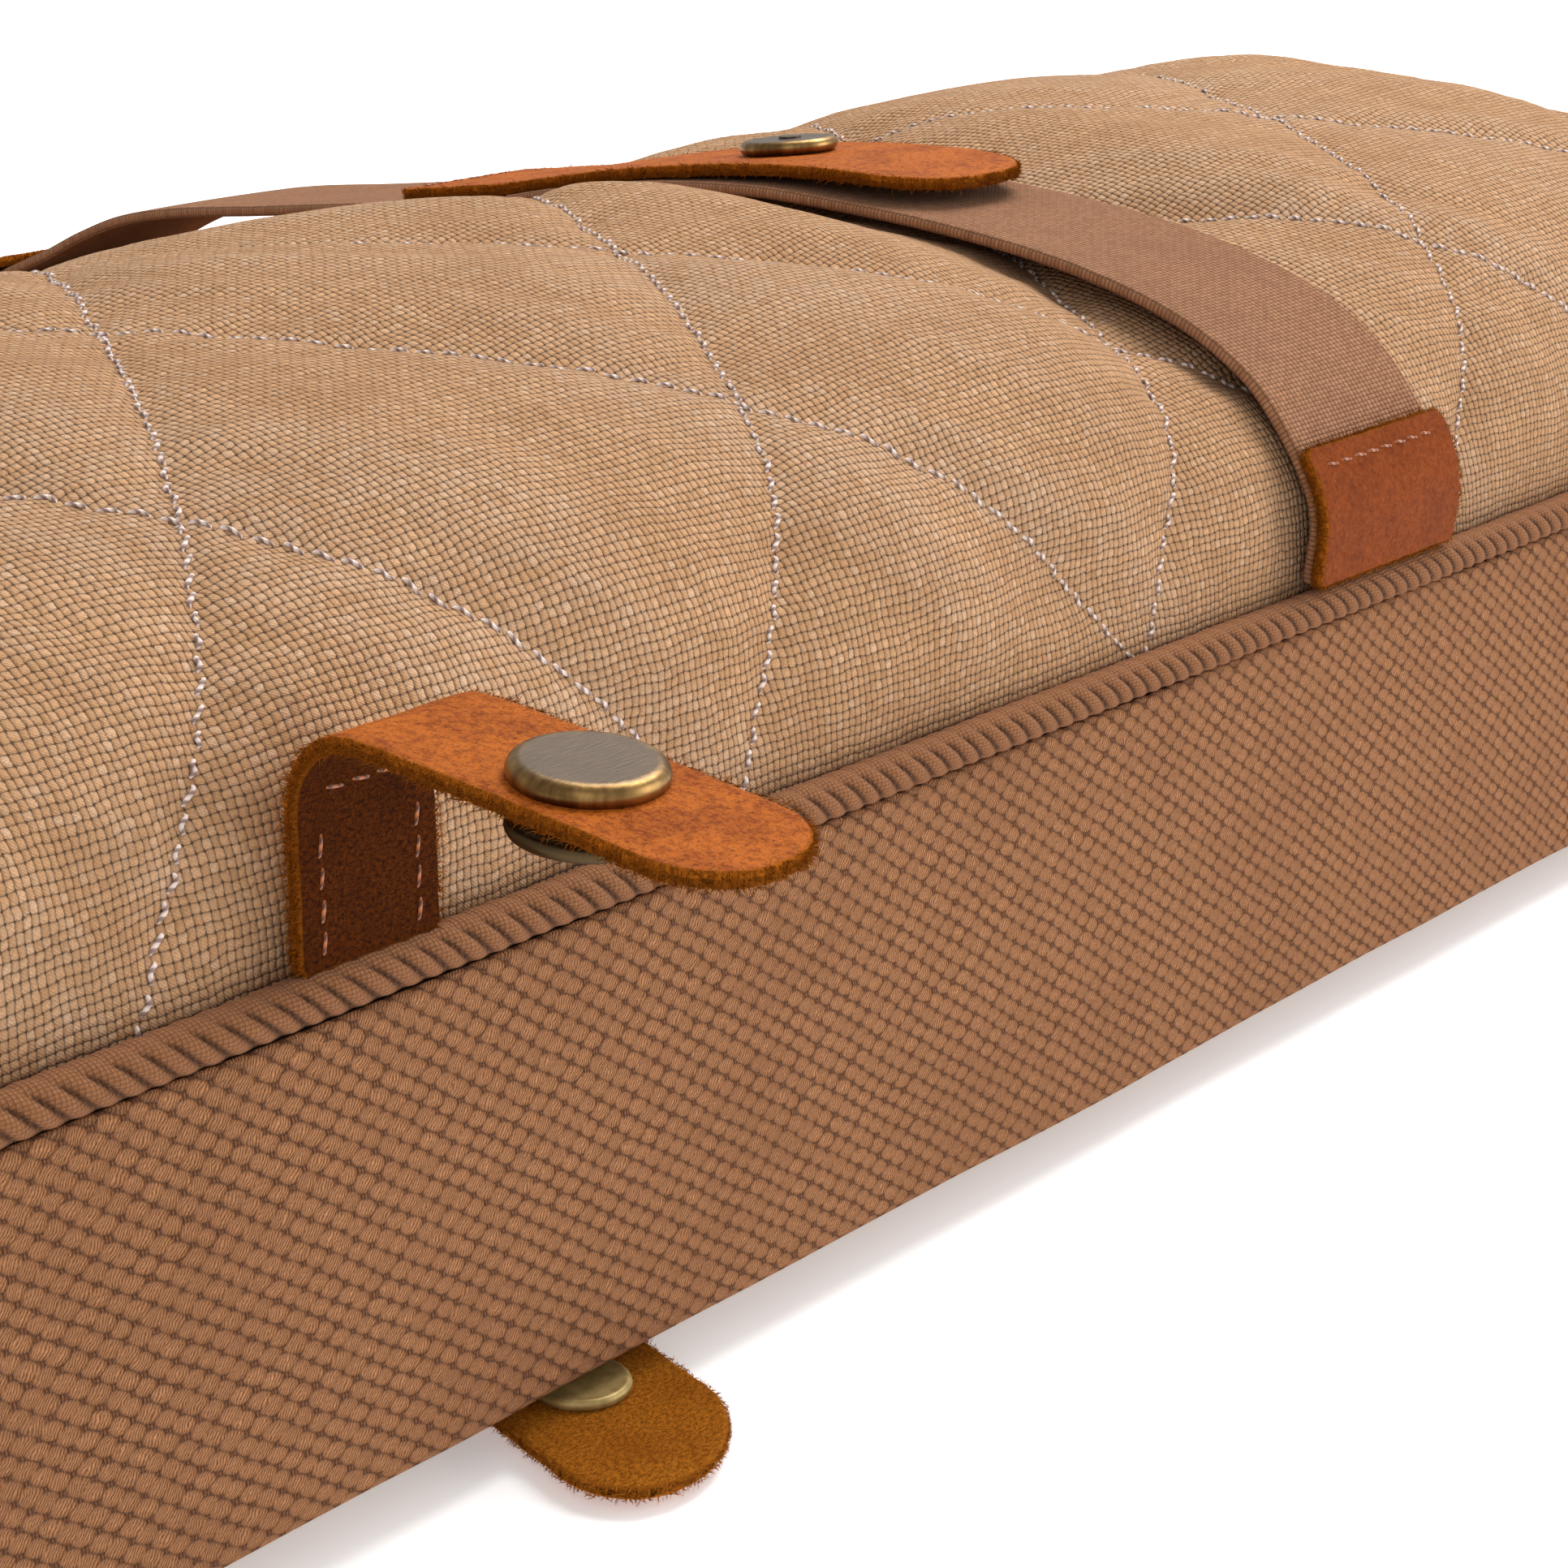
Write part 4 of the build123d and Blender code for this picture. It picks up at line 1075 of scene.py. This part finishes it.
def strap_height(y):
    edges = [STRAP_X - STRAP_WIDTH / 2, STRAP_X, STRAP_X + STRAP_WIDTH / 2]
    return max(float(front_height(np.float64(x), np.float64(y))) for x in edges) + STRAP_CLEAR


def near_strap_line():
    edge = -DOME_HALF - 0.9
    rise = [(edge, PIPING_Z + 3.2), (edge - 0.1, DOME_Z + 14)]
    return rise + [(y, strap_height(y)) for y in (-131, -124, -114, -100, -84, -66, -46, -26, -8, 2)]


def far_strap_line():
    join = strap_height(6)
    edge = DOME_HALF + 0.9
    return [(6, join + 0.3), (20, join - 1.7), (38, join - 4), (58, join - 6.4), (78, join - 8.6),
            (92, join - 11.2), (103, join - 15), (113, join - 19.4), (124, join - 23.8),
            (132, join - 27), (edge - 1, PIPING_Z + 6), (edge, PIPING_Z + 3.2)]


def lifted(line, rise):
    """A smooth line moved to its left by rise."""
    tangent = unit(np.gradient(line, axis=0))
    return line + np.stack([-tangent[:, 1], tangent[:, 0]], 1) * rise


def webbing(name, line, node):
    """Flat woven strap along a line in the YZ plane, its underside on the line."""
    run = Run(lifted(line, STRAP_THICK / 2), grain_left=True)
    half, h = STRAP_WIDTH / 2, STRAP_THICK / 2 - 0.05
    flat = np.linspace(-half + 0.7, half - 0.7, 30)
    bend = np.linspace(math.pi / 2, -math.pi / 2, 8)[1:-1]
    w = np.concatenate([flat, half - 0.7 + 0.75 * np.cos(bend),
                        flat[::-1], -half + 0.7 - 0.75 * np.cos(bend[::-1])])[None]
    lift = np.concatenate([np.full(30, h), h * np.sin(bend), np.full(30, -h), h * np.sin(bend[::-1])])[None]
    s = np.linspace(0, run.end, int(run.end / 0.8))
    bow = 0.25 * np.sin(s / 21)[:, None] * (w / half) ** 2
    edge_wave = 0.12 * noise(s / 6, s * 0, 5)[:, None] * np.sign(w)
    points = run.place(STRAP_X, s[:, None], w + edge_wave, lift + bow)
    first, last = (run.place(STRAP_X, end, w, 0.0) for end in (0, run.end))
    points = np.concatenate([first, points, last], 0)
    s = np.concatenate([[0], s, [run.end]])
    piece = grid_piece(name, points, spread(w, s[:, None]), WEBBING, wrap=True)
    weld(piece)
    dress(piece, "strap_webbing", "sleeve", node)


def patch(name, line, from_start, length, node, seed):
    """Leather end patch over the strap's sewn end; gives its row of stitches."""
    cover = lifted(line, STRAP_THICK + 0.15 + LEATHER / 2)
    run = Run(cover if from_start else cover[::-1], grain_left=from_start)
    piece = leather_strip(name, run, STRAP_X, length, STRAP_WIDTH + 1.6, HIDE_SHADED, 1.6, 1.0, seed)
    dress(piece, "leather", "sleeve", node)
    reach = STRAP_WIDTH / 2 - 1.6
    return run.seam(STRAP_X, length - 2.6, np.linspace(-reach, reach, 60), LEATHER / 2)


def tongue_height(y):
    """Underside of the closed tongue: on the webbing, and straight past the snap to its tip."""
    stiff = 2.3 * float(smooth(np.float64((-24.0 - y) / 60)))
    on_near = strap_height(y) + STRAP_THICK + 0.15 + stiff
    join = far_strap_line()[0][1]
    on_far = join - (y - 6) / 7.0 + STRAP_THICK + 0.1
    return on_near if y < 4 else on_far


def cap_profile(radius, height, top=0.0):
    """Flat cap with a rounded rim; top is how worn its flat is."""
    r = height * 0.5
    rows = [(0.0, height - 0.05, top), (radius * 0.5, height - 0.02, top), (radius - r - 0.5, height, top),
            (radius - r - 0.1, height, max(top, 0.15))]
    for a in np.linspace(90, -60, 13):
        a = math.radians(a)
        rows.append((radius - r + r * math.cos(a), height - r + r * math.sin(a), 1.0 if a < 1.25 else 0.5))
    return rows + [(radius - r, 0.0, 0.6), (0.0, 0.0, 0.0)]


def socket_profile(radius, height):
    """Socket disc with a raised rim, a well and a ring spring's groove."""
    rows = [(0.0, height * 0.45, 0.0), (radius * 0.30, height * 0.45, 0.0), (radius * 0.36, height * 0.8, 0.1),
            (radius * 0.52, height * 0.92, 0.1), (radius * 0.60, height * 0.7, 0.0),
            (radius * 0.78, height * 0.66, 0.0), (radius * 0.86, height * 0.9, 0.3)]
    r = height * 0.3
    for a in np.linspace(100, -70, 10):
        a = math.radians(a)
        rows.append((radius - r + r * math.cos(a), height - r + r * math.sin(a), 1.0))
    return rows + [(radius - r, 0.0, 0.6), (0.0, 0.0, 0.0)]


def strap():
    near, far = curve_through(near_strap_line()), curve_through(far_strap_line())
    webbing("strap_near_webbing", near, "strap_near_half")
    webbing("strap_far_webbing", far, "strap_far_half")
    rows = [patch("near_strap_leather", near, True, 17.6, "near_strap_patch", 3),
            patch("far_strap_leather", far, False, 19.0, "far_strap_patch", 4)]
    along = [19, 12, 6, -4, -12, -20, -28, -40, -52, -64, -76]
    over_far = curve_through(lifted(far, STRAP_THICK + 0.1 + LEATHER / 2), 2.0)
    seat = [(y, z) for y, z in over_far if 20.5 < y < 27.2]
    line = seat[::-1] + [(y, tongue_height(y) + LEATHER / 2) for y in along]
    run = Run(curve_through(line))
    tongue = leather_strip("tongue_strip", run, STRAP_X, run.end, 27.0, HIDE, 11.5, 1.6, 6)
    dress(tongue, "leather", None, "tongue_leather", "tongue_sewn_end")
    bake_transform(tongue)
    rows.append(run.seam(STRAP_X, 2.4, np.linspace(-11.5, 11.5, 50), LEATHER / 2))
    rows += [run.seam(STRAP_X, np.linspace(2.4, 6.5, 12), w, LEATHER / 2) for w in (-11.5, 11.5)]
    thread = stitches("strap_thread", rows, BROWN_THREAD, *STRAP_STITCH, 0.2, lift=0.05)
    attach(thread, "sleeve")
    y = -40.0
    turn = math.atan((tongue_height(y + 2) - tongue_height(y - 2)) / 4)
    under = tongue_height(y)
    top = (STRAP_X, y - LEATHER * math.sin(turn), under + LEATHER * math.cos(turn))
    low, seat = (STRAP_X, y, under + 0.1), (STRAP_X, y, strap_height(y) + STRAP_THICK + 0.1)
    cap = lathe("tongue_snap_cap", cap_profile(7.0, 2.0), top, turn, BRASS)
    disc = lathe("tongue_snap_socket", socket_profile(6.4, 0.7), low, turn + math.pi, DARK_BRASS)
    stud = lathe("strap_snap_stud", socket_profile(4.4, 0.3), seat, turn, BRASS)
    dress(cap, "brass", "tongue", "tongue_cap")
    dress(disc, "brass_dark", "tongue", "tongue_socket")
    dress(stud, "brass", "sleeve", "strap_stud")


def frame_joint(name):
    return next(j for j in frame["joints"] if j["name"] == name)


# ---------------------------------------------------------------- snap tabs

FRONT_TAB_X = float(np.mean([node_box("near_front_tab_base")[k][0] for k in (0, 1)]))
BACK_TAB_X = float(np.mean([node_box("near_back_tab_base")[k][0] for k in (0, 1)]))


def front_tab(side):
    """Front snap tab: one leather from its sewn base round the elbow to its free tip."""
    way = SIDES[side]
    joint = frame_joint(side + "_front_tab_swing")
    hinge_y, hinge_z = abs(joint["pos_m"][1]) / MM, joint["pos_m"][2] / MM
    radius, lean, reach = 8.1, math.radians(5.0), 41.0
    turn_y, turn_z = hinge_y - 1.3, hinge_z - radius
    line = [(turn_y - radius, z) for z in np.linspace(PIPING_Z + 2.2, turn_z - 0.5, 12)]
    elbow = np.linspace(0, math.pi / 2, 14)
    line += [(turn_y - radius * math.cos(a), turn_z + radius * math.sin(a)) for a in elbow]
    for t in np.linspace(0.03, 1, 22):
        fall = lean * reach * t + 1.1 * (t ** 2 - t)
        line.append((hinge_y + reach * t * math.cos(lean), hinge_z - fall))
    line = np.array([(way * y, z) for y, z in line])
    run = Run(curve_through(line, 0.3), grain_left=way > 0)
    tab = leather_strip(side + "_front_tab_strip", run, FRONT_TAB_X, run.end, 17.2, HIDE, 7.9, 0.8, 10 + way)
    dress(tab, "leather", None, side + "_front_tab_base", side + "_front_tab_leather")
    x, (_, y, z) = FRONT_TAB_X * MM, joint["pos_m"]
    y - way * 0.006
    y + way * 0.006
    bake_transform(tab)
    rows = [run.seam(FRONT_TAB_X, np.linspace(1.0, 17.0, 40), w, -LEATHER / 2) for w in (-5.9, 5.9)]
    rows.append(run.seam(FRONT_TAB_X, 17.6, np.linspace(-5.9, 5.9, 30), -LEATHER / 2))
    thread = stitches(side + "_front_tab_thread", rows, BROWN_THREAD, *TAB_STITCH, 0.2, lift=0.05)
    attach(thread, "sleeve")
    at, turn = 19.0, -way * lean
    place_y, place_z = hinge_y + at * math.cos(lean), hinge_z - lean * at - 0.27
    for piece_name, profile, rise, tilt, material, node, slot in (
            ("_front_snap_cap", cap_profile(7.1, 2.5), 0.85, turn, BRASS, "cap", "brass"),
            ("_front_snap_socket", socket_profile(7.0, 2.9), -0.85, turn + math.pi, DARK_BRASS, "socket",
             "brass_dark")):
        seat = (FRONT_TAB_X, way * (place_y + rise * math.sin(lean)), place_z + rise)
        piece = lathe(side + piece_name, profile, seat, tilt, material)
        dress(piece, slot, side + "_front_tab", side + "_front_tab_" + node)


def back_tab(side):
    """Back snap tab: one leather from the back seam, folded and run out past the band."""
    way = SIDES[side]
    joint = frame_joint(side + "_back_flap_swing")
    level = joint["pos_m"][2] / MM
    thick = 1.6
    line = [(137.0, 4.7), (128.0, 3.6), (121.0, 2.75), (118.2, 2.2), (117.3, 1.55), (118.6, 0.95),
            (124.0, 1.15), (133.0, 1.75), (140.0, level), (147.0, level), (155.0, level + 0.05),
            (162.6, level - 0.15)]
    line = curve_through([(way * y, z) for y, z in line], 0.3)

    def drift(s):
        return 1.9 * smooth((s - 22.0) / 16.0) - 0.25 * np.maximum(s - 42.0, 0)
    run = Run(line, grain_left=way < 0, drift=drift)
    tab = leather_strip(side + "_back_tab_strip", run, BACK_TAB_X, run.end, 21.4, HIDE_ROUGH, 10.5, 1.0,
                        20 + way, thick=thick, longest=0.5)
    dress(tab, "leather", None, side + "_back_tab_base", side + "_back_tab_leather")
    y = joint["pos_m"][1]
    y - way * 0.0012
    level * MM
    y + way * 0.0022
    level * MM
    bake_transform(tab)
    stud_low, stud_high = node_box(side + "_back_tab_stud")
    x, y, _ = (stud_low + stud_high) / 2 + np.array([0.4, -way * 2.4, 0.0])
    for piece_name, profile, z, turn, node in (
            ("_back_snap_disc", cap_profile(5.1, 1.3, 0.7), stud_low[2] - 0.05, 0.0, "stud"),
            ("_back_snap_cap", cap_profile(4.8, 1.35), stud_low[2] - thick, math.pi, "cap")):
        piece = lathe(side + piece_name, profile, (x, y, z), turn, SATIN_BRASS)
        dress(piece, "brass", "sleeve", side + "_back_tab_" + node)


# ---------------------------------------------------------------- stage

def placed(name, data, place=(0.0, 0.0, 0.0), look=None):
    """Adds an object to the scene, with its -Z axis along look."""
    thing = bpy.data.objects.new(name, data)
    thing.location = place
    if look:
        thing.rotation_mode = "QUATERNION"
        thing.rotation_quaternion = look.to_track_quat("-Z", "Y")
    bpy.context.scene.collection.objects.link(thing)
    return thing


def studio():
    """Pale floor, soft light and the camera."""
    scene = bpy.context.scene
    scene.view_settings.view_transform = "Standard"
    world = bpy.data.worlds.new("soft_white")
    world.use_nodes = True
    wired(world.node_tree, world.node_tree.nodes["Background"], {0: (1.0, 1.0, 1.0), 1: 0.55})
    scene.world = world
    data = bpy.data.meshes.new("floor")
    r = 6.0
    data.from_pydata([(-r, -r, 0), (r, -r, 0), (r, r, 0), (-r, r, 0)], [], [(0, 1, 2, 3)])
    paint = bpy.data.materials.new("floor_white")
    paint.use_nodes = True
    wired(paint.node_tree, paint.node_tree.nodes["Principled BSDF"], {
        "Base Color": (0.97, 0.97, 0.97), "Roughness": 0.9, "Specular IOR Level": 0.1,
        "Emission Color": (1.0, 1.0, 1.0), "Emission Strength": 0.3})
    data.materials.append(paint)
    placed("floor", data)
    for name, place, target, size, power in (
            ("key", (0.75, 0.05, 1.20), (0.0, -0.05, 0.05), 1.0, 21.5),
            ("left_fill", (-1.1, -0.9, 0.75), (-0.1, -0.1, 0.05), 1.2, 3.5),
            ("low_front", (1.1, -1.2, 0.40), (0.1, -0.1, 0.04), 1.0, 10.0)):
        light = bpy.data.lights.new(name, "AREA")
        light.shape = "DISK"
        light.size = size
        light.energy = power
        placed(name, light, place, Vector(target) - Vector(place))
    lens = bpy.data.cameras.new("camera")
    lens.lens = 78.26
    lens.sensor_width = 36.0
    lens.clip_start = 0.01
    down, heading = math.radians(18.80), math.radians(40.42)
    look = Vector((math.cos(down) * math.cos(heading), math.cos(down) * math.sin(heading), -math.sin(down)))
    scene.camera = placed("camera", lens, (-0.33606, -0.35655, 0.171), look)


studio()
panels()
gusset()
mouth()
strap()
for side_name in SIDES:
    front_tab(side_name)
    back_tab(side_name)
for name, cad in frame["nodes"].items():
    if not cad.hide_render:
        cad.data.materials.clear()
        cad.data.materials.append(BRASS)
